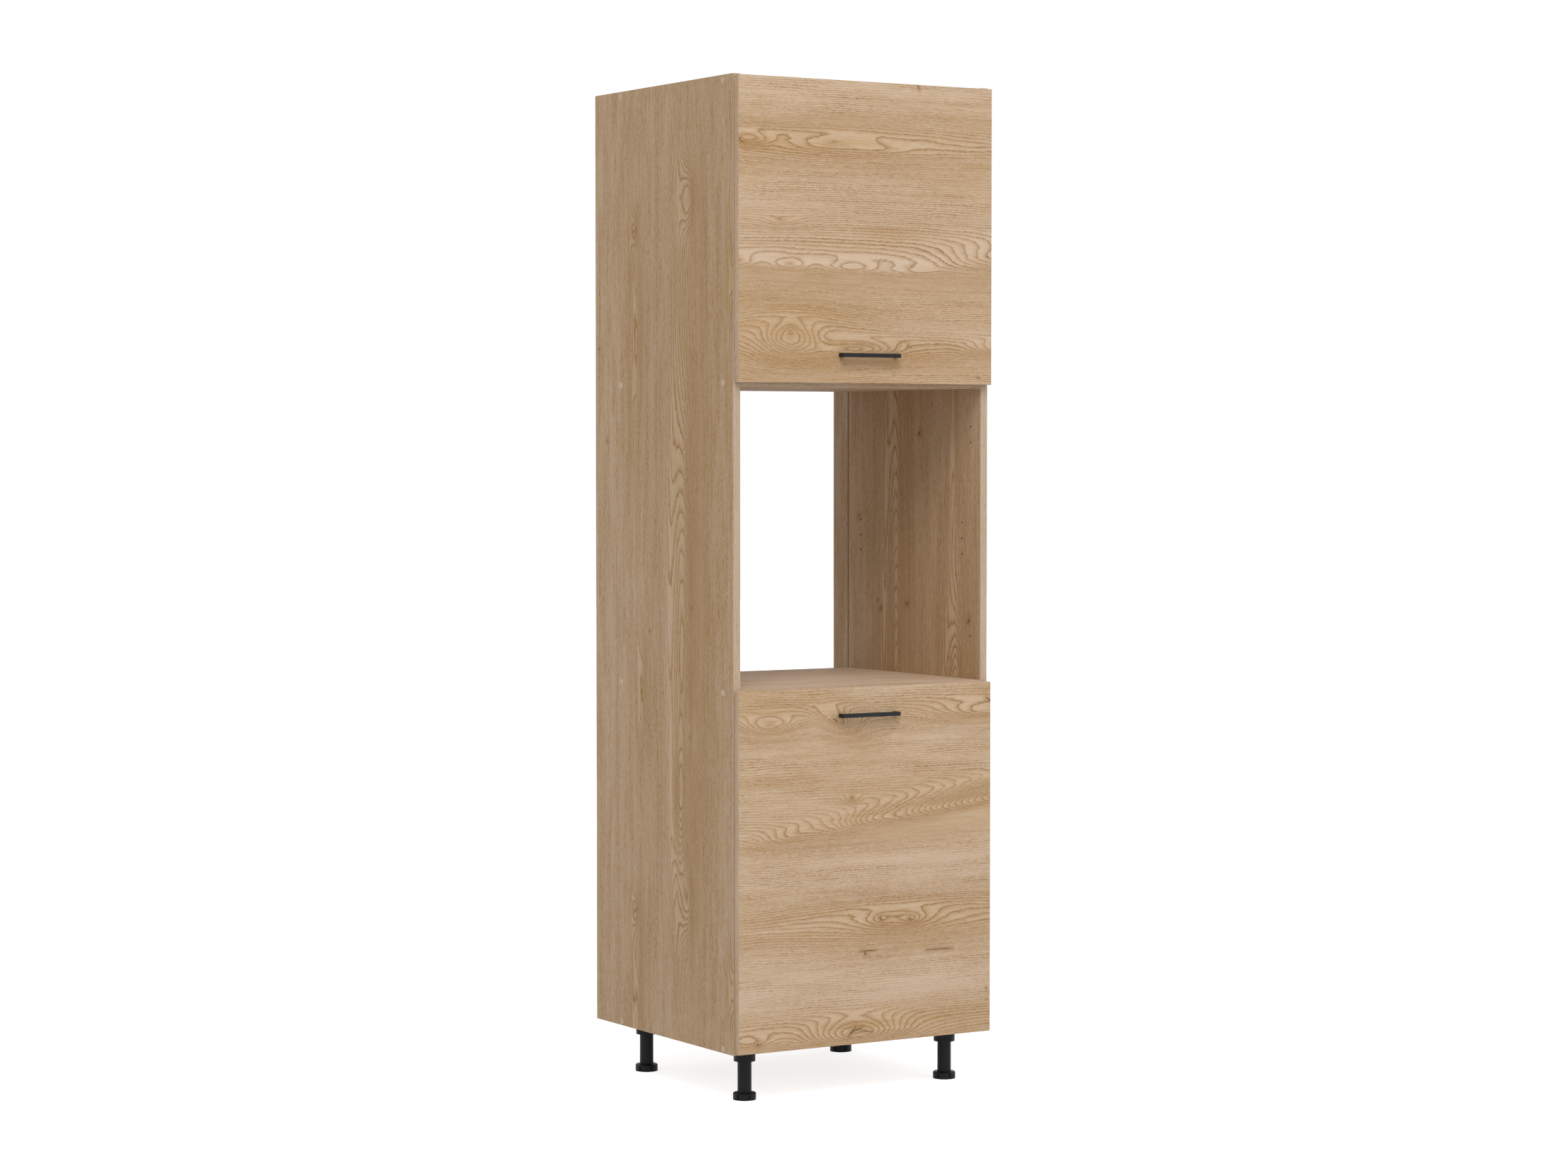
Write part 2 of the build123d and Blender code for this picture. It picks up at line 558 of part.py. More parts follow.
def rail(web_x, flange_x, half_height):
    """Rail along the runner: an upright web with a flange above and below."""
    z = (RUNNER_Z - half_height, RUNNER_Z + half_height)
    shape = block(web_x, RUNNER_Y, z)
    shape += block(flange_x, RUNNER_Y, (z[0], z[0] + RUNNER_STEEL))
    return shape + block(flange_x, RUNNER_Y, (z[1] - RUNNER_STEEL, z[1]))


RUNNER_X = (-INNER, -BOX_HALF)
RUNNER_MIDDLE = sum(RUNNER_X) / 2
MIDDLE_WEB = (RUNNER_MIDDLE - RUNNER_STEEL / 2, RUNNER_MIDDLE + RUNNER_STEEL / 2)
CABINET_WEB = (RUNNER_X[0], RUNNER_X[0] + RUNNER_STEEL)
DRAWER_WEB = (RUNNER_X[1] - RUNNER_STEEL, RUNNER_X[1])


def cabinet_rail_screws():
    turn = Rot(0, -90, 0)
    return [Pos(CABINET_WEB[1], y, RUNNER_Z) * turn * screw(SMALL_SCREW) for y in RUNNER_SCREW_Y]


def drawer_rail_screws():
    turn = Rot(0, 90, 0)
    return [Pos(DRAWER_WEB[0], y, RUNNER_Z) * turn * screw(SMALL_SCREW) for y in RUNNER_SCREW_Y]


def cabinet_rail():
    flange = (CABINET_WEB[0], DRAWER_WEB[0] - RUNNER_PLAY)
    return cut(rail(CABINET_WEB, flange, CABINET_RAIL_HALF), cabinet_rail_screws())


def middle_rail():
    flange = (CABINET_WEB[1] + RUNNER_PLAY, DRAWER_WEB[0] - RUNNER_PLAY)
    return rail(MIDDLE_WEB, flange, MIDDLE_RAIL_HALF)


def drawer_rail():
    flange = (MIDDLE_WEB[1] + RUNNER_PLAY, DRAWER_WEB[1])
    return cut(rail(DRAWER_WEB, flange, DRAWER_RAIL_HALF), drawer_rail_screws())


def front_screws():
    """Screws from inside the box, through its inner front, into the lower front."""
    across, along = FRONT_SCREW_INSETS
    x_places = (-BOX_HALF + across, BOX_HALF - across)
    z_places = (BOX_Z[0] + BOX_BOARD + along, BOX_Z[1] - along)
    size = (FRONT_SCREW_RADIUS, BOX_BOARD + FRONT_BOARD * FRONT_SCREW_SHARE) + FRONT_SCREW_HEAD
    face = BOX_Y[0] + BOX_BOARD
    return [Pos(x, face, z) * Rot(90, 0, 0) * screw(size) for x in x_places for z in z_places]


BOX_INSIDE = (-BOX_HALF + BOX_BOARD, BOX_HALF - BOX_BOARD)


def box_side():
    board = block((-BOX_HALF, -BOX_HALF + BOX_BOARD), BOX_Y, BOX_Z)
    return cut(board, drawer_rail_screws())


def box_inner_front():
    return cut(block(BOX_INSIDE, (BOX_Y[0], BOX_Y[0] + BOX_BOARD), BOX_Z), front_screws())


def box_back():
    return block(BOX_INSIDE, (BOX_Y[1] - BOX_BOARD, BOX_Y[1]), BOX_Z)


def box_bottom():
    y = (BOX_Y[0] + BOX_BOARD, BOX_Y[1] - BOX_BOARD)
    return block(BOX_INSIDE, y, (BOX_Z[0], BOX_Z[0] + BOX_BOARD))


# Boards of the carcass
def niche_holes():
    """Blind holes in the niche face of the left side panel."""
    x = (-INNER - PEG_HOLE_DEPTH, -INNER)
    rises = [NICHE_ROW_RISE + step * ROW_PITCH for step in (-1, 0, 1)]
    places = [(y, Z_NICHE + rise) for y in ROW_Y for rise in rises]
    places += [(Y_EDGE + FIXING_INSET, Z_NICHE + rise) for rise in FIXING_RISES]
    return [rod_x(x, y, z, PEG_HOLE / 2) for y, z in places]


def side_panel():
    """Left side panel, with the groove for the back panels and every drilled hole."""
    panel = block((-HALF, -INNER), (Y_EDGE, Y_BACK), (Z_BASE, Z_TOP))
    groove_y = (Y_PANEL_END - GROOVE_PLAY, Y_PANEL_END + BACK_BOARD + GROOVE_PLAY)
    panel -= block((-INNER - GROOVE_DEPTH, -INNER), groove_y, (Z_BASE, Z_TOP))
    panel = cut(panel, [screw_cover(y, z) for y, z in assembly_places()])
    panel = cut(panel, [assembly_screw(y, z) for y, z in assembly_places()])
    panel = cut(panel, niche_holes() + [shelf_peg(y) for y in ROW_Y])
    return cut(panel, [wall_bracket_screw()] + housing_screws() + cabinet_rail_screws())


def horizontal_panel(z, fittings=()):
    """Fixed panel between the side panels, with the ends of its screws taken out."""
    panel = block((-INNER, INNER), PANEL_Y, z)
    middle = sum(z) / 2
    screws = [assembly_screw(y, height) for y, height in assembly_places() if height == middle]
    return cut(panel, both(screws) + list(fittings))


def back_panel(z_low, z_high):
    half = INNER + GROOVE_DEPTH - BACK_EDGE_PLAY
    z = (z_low + BACK_END_INSET, z_high - BACK_END_INSET)
    return block((-half, half), (Y_PANEL_END, Y_PANEL_END + BACK_BOARD), z)


os.makedirs("parts", exist_ok=True)

# Carcass
all_leg_screws = [screw_of_leg for place in LEG_PLACES.values() for screw_of_leg in leg_screws(place)]
save_pair("side_panel", side_panel())
save("bottom_panel", horizontal_panel(BOTTOM_Z, all_leg_screws))
save("niche_floor_panel", horizontal_panel(NICHE_FLOOR_Z))
save("niche_top_panel", horizontal_panel(NICHE_TOP_Z))
save("top_panel", horizontal_panel(TOP_Z, both(plate_screws())))
save("lower_back_panel", back_panel(BOTTOM_Z[0], NICHE_FLOOR_Z[1]))
save("upper_back_panel", back_panel(NICHE_TOP_Z[0], TOP_Z[1]))
save("upper_shelf", upper_shelf())
save("shelf_pegs", group(both([shelf_peg(y) for y in ROW_Y])))
save("assembly_screws", group(both([assembly_screw(y, z) for y, z in assembly_places()])))
save("screw_covers", group(both([screw_cover(y, z) for y, z in assembly_places()])))
save_pair("wall_bracket", wall_bracket())
side_screws = plate_screws() + housing_screws() + cabinet_rail_screws() + [wall_bracket_screw()]
save("fitting_screws", group(all_leg_screws + both(side_screws)))
bumper_heights = (LOWER_FRONT_Z[0] + BUMPER_INSET, LOWER_FRONT_Z[1] - BUMPER_INSET)
bumper_heights += (UPPER_FRONT_Z[0] + BUMPER_INSET,)
save("front_bumpers", group(both([bumper(z) for z in bumper_heights])))

# Legs
save("leg_sockets", group([leg_socket(place) for place in LEG_PLACES.values()]))
for name, place in LEG_PLACES.items():
    save(f"{name}_leg_tube", leg_tube(place))
    save(f"{name}_leg_foot", leg_foot(place))

# Flap with its hinges and lift stays
upper_handle_z = UPPER_FRONT_Z[0] + HANDLE_INSET
flap_pocket = rod_y(HINGE_X, (CUP_FLOOR_Y, Y_REAR_FACE), CUP_Z, CUP_RADIUS)
flap_fittings = both([flap_pocket] + cup_screws() + stud_screws())
save("upper_front", cut(front_board(UPPER_FRONT_Z), flap_fittings + handle_screws(upper_handle_z)))
save("upper_handle", handle(upper_handle_z))
save("upper_handle_screws", group(handle_screws(upper_handle_z)))
save_pair("hinge_cup", hinge_cup())
save_pair("hinge_pin", hinge_pin())
save_pair("hinge_arm", hinge_arm())
save_pair("hinge_plate", hinge_plate())
save_pair("lift_housing", lift_housing())
save_pair("lift_lever", lift_lever())
save_pair("lift_link", lift_link())
save_pair("flap_bracket", flap_bracket())
save("flap_screws", group(both(cup_screws() + stud_screws())))

# Pull-out
lower_handle_z = LOWER_FRONT_Z[1] - HANDLE_INSET
lower_front = cut(front_board(LOWER_FRONT_Z), front_screws() + handle_screws(lower_handle_z))
save("lower_front", lower_front)
save("lower_handle", handle(lower_handle_z))
save("lower_handle_screws", group(handle_screws(lower_handle_z)))
save_pair("box_side", box_side())
save("box_inner_front", box_inner_front())
save("box_back", box_back())
save("box_bottom", box_bottom())
save("box_screws", group(front_screws() + both(drawer_rail_screws())))
save_pair("cabinet_rail", cabinet_rail())
save_pair("middle_rail", middle_rail())
save_pair("drawer_rail", drawer_rail())
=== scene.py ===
"""Looks of the appliance housing cabinet: oak-decor boards, black handles and legs, steel fittings."""
import json
import math

import bmesh
import bpy
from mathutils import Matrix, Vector


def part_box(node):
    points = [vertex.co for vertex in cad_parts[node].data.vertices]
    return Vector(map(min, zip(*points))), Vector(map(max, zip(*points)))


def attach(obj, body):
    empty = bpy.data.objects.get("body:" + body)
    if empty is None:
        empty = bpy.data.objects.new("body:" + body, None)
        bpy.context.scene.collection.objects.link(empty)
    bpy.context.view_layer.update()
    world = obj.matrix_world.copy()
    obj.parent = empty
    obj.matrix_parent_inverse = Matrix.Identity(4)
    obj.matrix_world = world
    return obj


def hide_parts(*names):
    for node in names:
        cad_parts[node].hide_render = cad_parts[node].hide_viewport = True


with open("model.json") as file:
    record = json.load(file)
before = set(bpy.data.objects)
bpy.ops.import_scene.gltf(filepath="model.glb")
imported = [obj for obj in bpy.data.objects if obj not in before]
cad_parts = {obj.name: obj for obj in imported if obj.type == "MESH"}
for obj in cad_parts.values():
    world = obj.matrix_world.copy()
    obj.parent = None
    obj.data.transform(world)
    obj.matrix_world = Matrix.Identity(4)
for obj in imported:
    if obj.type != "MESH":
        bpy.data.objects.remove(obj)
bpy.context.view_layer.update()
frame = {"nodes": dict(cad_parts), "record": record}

# Camera, in metres and degrees
CAMERA_AT = (-3.9630, -6.4503, 1.2968)
CAMERA_TURN = -31.412           # about Z, from looking along +Y
CAMERA_DIP = 2.212              # below level
CAMERA_LENS = 84.62             # mm on a 36 mm sensor

# Stage
FLOOR_SIZE = 40.0
FLOOR_GLOW = 0.78               # what the camera sees of the floor without any light on it
FLOOR_COLOUR = (0.70, 0.70, 0.70, 1)
AMBIENT_FRONT = 0.95            # world light on the object from the camera's side, white = 1
AMBIENT_BACK = 0.34             # and from behind it
AMBIENT_TURN = 0.5              # of a direction along Y, at which either is full
KEY_AT = (-3.2, -6.4, 9.0)
KEY_AIM = (0.0, 0.0, 0.9)
KEY_SIZE = 5.0
KEY_POWER = 520.0

# Oak decor colours, linear
OAK_PALE = (0.604, 0.463, 0.341, 1)
OAK_GOLD = (0.470, 0.305, 0.155, 1)
OAK_LINE = (0.305, 0.168, 0.063, 1)
# Dark of splits and knots, and also the painted shade in holes and grooves
OAK_MARK_AND_HOLE_SHADE = (0.110, 0.062, 0.034, 1)
# Pale of banded edges, and also of the painted highlight along sharp edges
OAK_EDGE = (0.440, 0.355, 0.280, 1)
CHIP_PALE = (0.460, 0.330, 0.200, 1)
CHIP_DARK = (0.210, 0.125, 0.060, 1)
FIBRE_PALE = (0.370, 0.240, 0.138, 1)
FIBRE_DARK = (0.245, 0.152, 0.082, 1)

# Other finishes, linear
COAT_BLACK = (0.007, 0.007, 0.008, 1)
COAT_WORN = (0.020, 0.020, 0.021, 1)
PLASTIC_BLACK = (0.005, 0.005, 0.005, 1)
PLASTIC_SCUFFED = (0.013, 0.013, 0.013, 1)
COVER_TAN = (0.575, 0.445, 0.325, 1)
COVER_SHADE = (0.500, 0.385, 0.280, 1)
HOUSING_GREY = (0.270, 0.275, 0.285, 1)
HOUSING_SHADE = (0.215, 0.220, 0.230, 1)
PAD_CLEAR = (0.640, 0.640, 0.610, 1)
PAD_SHADE = (0.520, 0.520, 0.490, 1)
NICKEL_BRIGHT = (0.500, 0.480, 0.445, 1)
NICKEL_DULL = (0.340, 0.325, 0.300, 1)
ZINC_BRIGHT = (0.430, 0.442, 0.455, 1)
ZINC_DULL = (0.290, 0.298, 0.310, 1)
SCREW_BRIGHT = (0.450, 0.440, 0.415, 1)
SCREW_DULL = (0.280, 0.272, 0.255, 1)

# Figures of the boards in mm. x counts from the left edge of a front and from the front edge of a side,
# down from the top. A ring figure is x, down, reach along the grain, reach across it, nested rings, tilt
# and how far it levels the rings' climb. One without rings of its own only levels the climb for others.
UPPER_FIGURES = [
    (220, 128, 420, 42, 0.0, 0.04, 0.9),
    (20, 124, 50, 15, 4.2, 0.0, 0.0),
    (200, 126, 120, 19, 3.4, 0.03, 0.0),
    (320, 136, 70, 13, 1.2, 0.03, 0.0),
    (300, 338, 480, 66, 1.0, 0.02, 0.4),
    (98, 281, 45, 12, 2.6, 0.0, 0.5),
    (622, 340, 165, 44, 8.0, 0.10, 0.4),
    (-2, 364, 48, 22, 5.0, 0.0, 0.3),
    (112, 370, 58, 19, 5.5, 0.0, 0.2),
    (255, 372, 70, 19, 5.5, 0.0, 0.2),
    (400, 376, 80, 18, 4.5, 0.0, 0.2),
    (118, 506, 150, 72, 0.0, 0.0, 0.95),
    (118, 508, 60, 34, 7.0, 0.0, 0.0),
    (118, 494, 12, 9, 1.2, 0.0, 0.0),
    (360, 526, 220, 28, 1.5, 0.0, 0.5),
    (275, 528, 90, 19, 5.0, 0.0, 0.5),
    (612, 522, 66, 20, 5.0, 0.0, 0.6),
]
LOWER_FIGURES = [
    (70, 66, 72, 26, 6.5, 0.0, 1.0),
    (236, 64, 56, 32, 7.5, -0.3, 1.0),
    (604, 55, 160, 30, 8.0, 0.0, 0.9),
    (262, 221, 22, 10, 2.4, 0.0, 0.8),
    (720, 222, 440, 36, 24.0, 0.12, 0.8),
    (105, 290, 70, 20, 3.0, 0.12, 0.4),
    (300, 264, 70, 20, 2.5, 0.12, 0.2),
    (380, 470, 300, 48, 0.0, 0.0, 0.9),
    (368, 468, 92, 23, 4.4, 0.0, 0.0),
    (331, 466, 18, 9, 1.0, 0.0, 0.0),
    (402, 471, 24, 10, 1.4, 0.0, 0.0),
    (300, 690, 330, 40, 1.5, 0.0, 0.5),
    (272, 690, 115, 38, 11.0, 0.0, 0.5),
    (16, 690, 64, 22, 5.0, 0.0, 0.5),
]
LEFT_FIGURES = [
    (185, 230, 80, 50, 7.0, 0.0, 1.0),
    (395, 285, 40, 20, 4.5, 0.0, 0.9),
    (388, 520, 170, 26, 4.0, 0.0, 1.0),
    (195, 950, 640, 84, 0.0, 0.0, 0.7),
    (195, 1120, 460, 52, 15.0, 0.0, 0.0),
    (0, 400, 55, 20, 4.0, 0.0, 0.8),
    (365, 1210, 110, 26, 5.0, 0.0, 1.0),
    (170, 1302, 40, 18, 4.0, 0.0, 0.7),
    (215, 1440, 120, 32, 6.0, 0.0, 0.9),
    (185, 1640, 80, 50, 7.0, 0.0, 1.0),
    (395, 1675, 40, 20, 4.5, 0.0, 0.9),
    (388, 1900, 170, 26, 4.0, 0.0, 1.0),
    (0, 1795, 55, 20, 4.0, 0.0, 0.8),
]
RIGHT_FIGURES = [
    (310, 1150, 900, 76, 0.0, 0.0, 0.8),
    (310, 1400, 640, 36, 20.0, 0.0, 0.0),
    (97, 700, 150, 14, 2.5, 0.0, 0.8),
    (87, 1260, 420, 70, 0.0, 0.0, 0.85),
    (87, 1310, 220, 32, 12.0, 0.0, 0.0),
    (310, 300, 170, 30, 6.0, 0.0, 0.9),
    (120, 1700, 170, 30, 6.0, 0.0, 0.9),
    (420, 1600, 140, 26, 5.0, 0.0, 0.9),
]

# Deeper and paler stretches of a board: x, down, reach along, reach across, amount
UPPER_TINTS = [
    (300, 300, 600, 75, -0.28),
    (320, 85, 260, 40, 0.14),
    (150, 465, 260, 45, 0.28),
    (300, 560, 400, 40, 0.24),
    (10, 130, 60, 14, 0.35),
    (360, 298, 90, 12, 0.45),
    (560, 160, 90, 10, 0.30),
]
LOWER_TINTS = [
    (40, 20, 120, 40, 0.28),
    (590, 12, 60, 20, 0.40),
    (220, 185, 400, 50, 0.24),
    (470, 105, 90, 20, -0.24),
    (300, 262, 400, 35, 0.04),
    (300, 368, 600, 42, -0.28),
    (420, 480, 170, 35, 0.24),
    (150, 452, 250, 9, 0.20),
    (80, 492, 200, 12, 0.25),
    (300, 605, 600, 45, -0.30),
    (250, 675, 100, 14, 0.20),
]
LEFT_TINTS = [
    (280, 1000, 3000, 1500, 0.12),
    (0, 350, 500, 50, 0.20),
    (120, 700, 900, 60, 0.10),
    (270, 1000, 1500, 40, -0.17),
    (420, 450, 650, 70, 0.13),
    (420, 1100, 160, 90, -0.13),
]
RIGHT_TINTS = [
    (280, 1000, 1500, 600, 0.12),
]
# The whole niche floor is painted paler: painted light in place of the light that the niche's shade keeps off
# it
NICHE_FLOOR_PAINTED_LIGHT = [
    (280, 0, 900, 900, -0.28),
]

# Splits and small knots: x and down of both ends, width
UPPER_MARKS = [
    (0, 119, 6, 128, 1.6),
    (4, 128, 13, 131, 1.1),
    (417, 0, 421, 9, 1.4),
    (394, 519, 397, 519, 2.0),
    (378, 519, 379, 519, 0.9),
    (562, 581, 569, 583, 1.3),
]
LOWER_MARKS = [
    (218, 59, 231, 68, 1.7),
    (229, 56, 225, 68, 1.2),
    (586, 31, 596, 37, 2.3),
    (261, 220, 263, 220, 2.1),
    (329, 462, 333, 470, 1.5),
    (396, 470, 408, 472, 1.1),
    (401, 467, 403, 475, 1.1),
    (283, 528, 320, 528, 1.4),
    (292, 529, 296, 536, 2.4),
    (440, 536, 503, 537, 1.4),
    (255, 696, 272, 679, 2.5),
    (264, 687, 288, 681, 1.9),
    (286, 687, 312, 692, 1.3),
    (43, 695, 46, 696, 3.0),
    (586, 624, 589, 627, 1.2),
    (588, 648, 590, 648, 1.0),
]
LEFT_MARKS = [
    (390, 280, 399, 288, 1.3),
    (394, 290, 402, 284, 0.8),
    (390, 1670, 399, 1678, 1.3),
    (545, 521, 546, 524, 1.8),
    (512, 711, 513, 713, 1.6),
    (163, 1044, 164, 1047, 1.7),
    (333, 1097, 334, 1100, 1.5),
    (207, 226, 207, 231, 1.4),
    (170, 1300, 171, 1305, 1.5),
    (365, 1236, 366, 1243, 1.4),
]
RIGHT_MARKS = [
    (222, 691, 229, 700, 2.6),
    (229, 692, 223, 700, 1.6),
    (39, 1075, 46, 1086, 2.9),
    (46, 1078, 40, 1085, 1.8),
    (267, 1050, 275, 1057, 2.6),
    (277, 1050, 279, 1054, 1.6),
    (369, 1063, 377, 1070, 2.4),
    (381, 1048, 388, 1050, 1.4),
    (456, 869, 463, 876, 2.3),
]


class Graph:
    """Adds and links the nodes of one node tree."""

    def __init__(self, tree):
        self.tree = tree

    def feed(self, socket, value):
        if isinstance(value, bpy.types.NodeSocket):
            self.tree.links.new(value, socket)
        else:
            socket.default_value = value

    def node(self, kind, inputs=None, **settings):
        made = self.tree.nodes.new(kind)
        for key, value in settings.items():
            setattr(made, key, value)
        for key, value in (inputs or {}).items():
            self.feed(made.inputs[key], value)
        return made

    def math(self, operation, *values, clamp=False):
        made = self.node("ShaderNodeMath", operation=operation, use_clamp=clamp)
        for socket, value in zip(made.inputs, values):
            self.feed(socket, value)
        return made.outputs[0]

    def vector(self, operation, *values):
        made = self.node("ShaderNodeVectorMath", operation=operation)
        for socket, value in zip(made.inputs, values):
            self.feed(socket, value)
        return made.outputs["Value" if operation in ("LENGTH", "DOT_PRODUCT") else "Vector"]

    def combine(self, x, y, z):
        return self.node("ShaderNodeCombineXYZ", {"X": x, "Y": y, "Z": z}).outputs[0]

    def separate(self, vector):
        return self.node("ShaderNodeSeparateXYZ", {"Vector": vector}).outputs

    def mix(self, factor, first, second):
        made = self.node("ShaderNodeMix", data_type="RGBA")
        for index, value in ((0, factor), (6, first), (7, second)):
            self.feed(made.inputs[index], value)
        return made.outputs[2]

    def blend(self, factor, first, second):
        made = self.node("ShaderNodeMix", data_type="FLOAT")
        for index, value in ((0, factor), (2, first), (3, second)):
            self.feed(made.inputs[index], value)
        return made.outputs[0]

    def span(self, value, low, high, to_low=0.0, to_high=1.0):
        inputs = {"Value": value, "From Min": low, "From Max": high, "To Min": to_low, "To Max": to_high}
        return self.node("ShaderNodeMapRange", inputs, interpolation_type="SMOOTHSTEP").outputs[0]

    def noise(self, vector, detail=2.0, roughness=0.5):
        inputs = {"Vector": vector, "Scale": 1.0, "Detail": detail, "Roughness": roughness}
        return self.node("ShaderNodeTexNoise", inputs).outputs["Fac"]


def group(name, inputs, outputs, build):
    """Shader node group: build gets its graph and input sockets and returns its outputs in order."""
    tree = bpy.data.node_groups.new(name, "ShaderNodeTree")
    for label, kind in inputs:
        tree.interface.new_socket(label, in_out="INPUT", socket_type=kind)
    for label, kind in outputs:
        tree.interface.new_socket(label, in_out="OUTPUT", socket_type=kind)
    graph = Graph(tree)
    entry = tree.nodes.new("NodeGroupInput")
    results = build(graph, entry.outputs)
    leave = tree.nodes.new("NodeGroupOutput")
    for (label, _), result in zip(outputs, results):
        graph.feed(leave.inputs[label], result)
    return tree


FLOAT = "NodeSocketFloat"
VECTOR = "NodeSocketVector"
COLOUR = "NodeSocketColor"

# Ring figures, splits and knots
NEARNESS_FALL = 0.40            # how fast the look of a figure fades outwards, against 1 for its hill
SPLIT_TAPER = 0.6               # share of a split's width that its ends lose
SPLIT_CORE = 0.2                # share of its width that is fully dark
HALO_WIDTHS = 6.0               # widths of brown wood round a split


def build_ring_figure(g, given):
    """Adds a hill to the sum so far and levels the rings' steady climb under it: nested ovals and arcs."""
    offset = g.separate(g.vector("SUBTRACT", given["Grain"], given["Centre"]))
    reach = g.separate(given["Reach"])
    across = g.math("SUBTRACT", offset[1], g.math("MULTIPLY", offset[0], given["Tilt"]))
    along_share = g.math("DIVIDE", offset[0], reach[0])
    across_share = g.math("DIVIDE", across, reach[1])
    across_square = g.math("MULTIPLY", across_share, across_share)
    square = g.math("MULTIPLY_ADD", along_share, along_share, across_square)
    hill = g.math("EXPONENT", g.math("MULTIPLY", square, -1.0))
    near = g.math("EXPONENT", g.math("MULTIPLY", square, -NEARNESS_FALL))
    level = g.math("MULTIPLY", hill, given["Climb"])
    lift = g.math("SUBTRACT", g.math("MULTIPLY", hill, given["Rise"]), g.math("MULTIPLY", level, across))
    fall = g.math("MULTIPLY", lift, -2.0)
    slope_across = g.math("DIVIDE", g.math("MULTIPLY", fall, across_share), reach[1])
    slope_across = g.math("SUBTRACT", slope_across, level)
    slope_along = g.math("DIVIDE", g.math("MULTIPLY", fall, along_share), reach[0])
    slope_along = g.math("SUBTRACT", slope_along, g.math("MULTIPLY", slope_across, given["Tilt"]))
    slope = g.vector("ADD", given["Slope"], g.combine(slope_along, slope_across, 0.0))
    return [g.math("ADD", lift, given["Sum"]), slope, g.math("MAXIMUM", near, given["Nearness"])]


def build_split(g, given):
    """Adds a split or small knot between two points: its dark core and the brown wood round it."""
    from_start = g.vector("SUBTRACT", given["Grain"], given["Start"])
    run = g.vector("SUBTRACT", given["End"], given["Start"])
    passed = g.vector("DOT_PRODUCT", from_start, run)
    share = g.math("DIVIDE", passed, g.vector("DOT_PRODUCT", run, run), clamp=True)
    step = g.node("ShaderNodeVectorMath", {0: run, "Scale": share}, operation="SCALE").outputs[0]
    distance = g.vector("LENGTH", g.vector("SUBTRACT", from_start, step))
    from_middle = g.math("MULTIPLY_ADD", share, 2.0, -1.0)
    taper = g.math("MULTIPLY_ADD", g.math("MULTIPLY", from_middle, from_middle), -SPLIT_TAPER, 1.0)
    width = g.math("MULTIPLY", given["Width"], taper)
    core = g.span(distance, width, g.math("MULTIPLY", width, SPLIT_CORE))
    halo = g.span(distance, g.math("MULTIPLY", given["Width"], HALO_WIDTHS), 0.0)
    return [g.math("MAXIMUM", core, given["Core"]), g.math("MAXIMUM", halo, given["Halo"])]


# Streaks of the oak decor: length and width in mm, and a shift that keeps each pattern apart
WAVE = (150, 30, 0.0)
CURL = (48, 11, 3.1)
JAG = (8, 2.2, 7.3)
PATCHES = (210, 24, 29.1)
PORES = (5.5, 0.5, 11.7)
TONES = (420, 42, 17.9)
HAZE = (90, 6, 23.3)
FIBRES = (26, 2.2, 31.7)

# How far the streaks move the ring lines
WAVE_RINGS = 2.4
WAVE_CALMED = 0.65              # share that a figure takes away
CURL_RINGS = 0.9
CURL_CALMED = 0.35
JAG_REACH = 4.5                 # mm across the line
LEAST_STEEPNESS = 0.035         # rings per mm, added so that lines keep a width where a figure is flat

# How strong and wide the ring lines are, widths in mm
FAINTEST_RING = 0.65            # the strongest is 1
PATCH_EDGE = 0.18               # streak value at which a strong or faint patch is full
PATCH_FAINT = 0.36              # of a ring's own strength
PATCH_STRONG = 0.95
PATCH_LEAST = 0.30              # however pale the tint
TINT_ON_LINES = 0.5             # share of a tint that also strengthens the lines
FIGURE_STRENGTH = 0.95          # of a ring's own strength, in a figure
CROWDED = (0.25, 0.80)          # rings per mm from which lines fade, and where they are faintest
CROWDED_STRENGTH = 0.18
LINE_CORE = (1.8, 0.9)          # before the line, where it begins and where it is full
LINE_TAIL = 1.6                 # behind the line, in a figure
LATE_WOOD = (7.0, 0.8)          # darkening before the line
LATE_WOOD_STRENGTH = 0.34
LATE_WOOD_IN_FIGURE = 0.12      # more of it there

# Colour shares and roughness of the oak decor
GOLD = 0.20                     # in plain wood
GOLD_FROM_HAZE = 0.6
GOLD_FROM_FIBRES = 1.1
GOLD_IN_FIGURE = 0.26
PORE_EDGE = (0.08, 0.22)        # streak values between wood and open pore
PORE_IN_WOOD = 0.35
PORE_IN_LINE = 0.8
LINE_COVER = 0.95               # how far a line or mark hides the wood
PORE_COVER = 0.45
HALO_COVER = 0.45
SPLIT_COVER = 0.9
OAK_ROUGHNESS = 0.62
GRAIN_ROUGHNESS = 0.14          # more in lines and pores


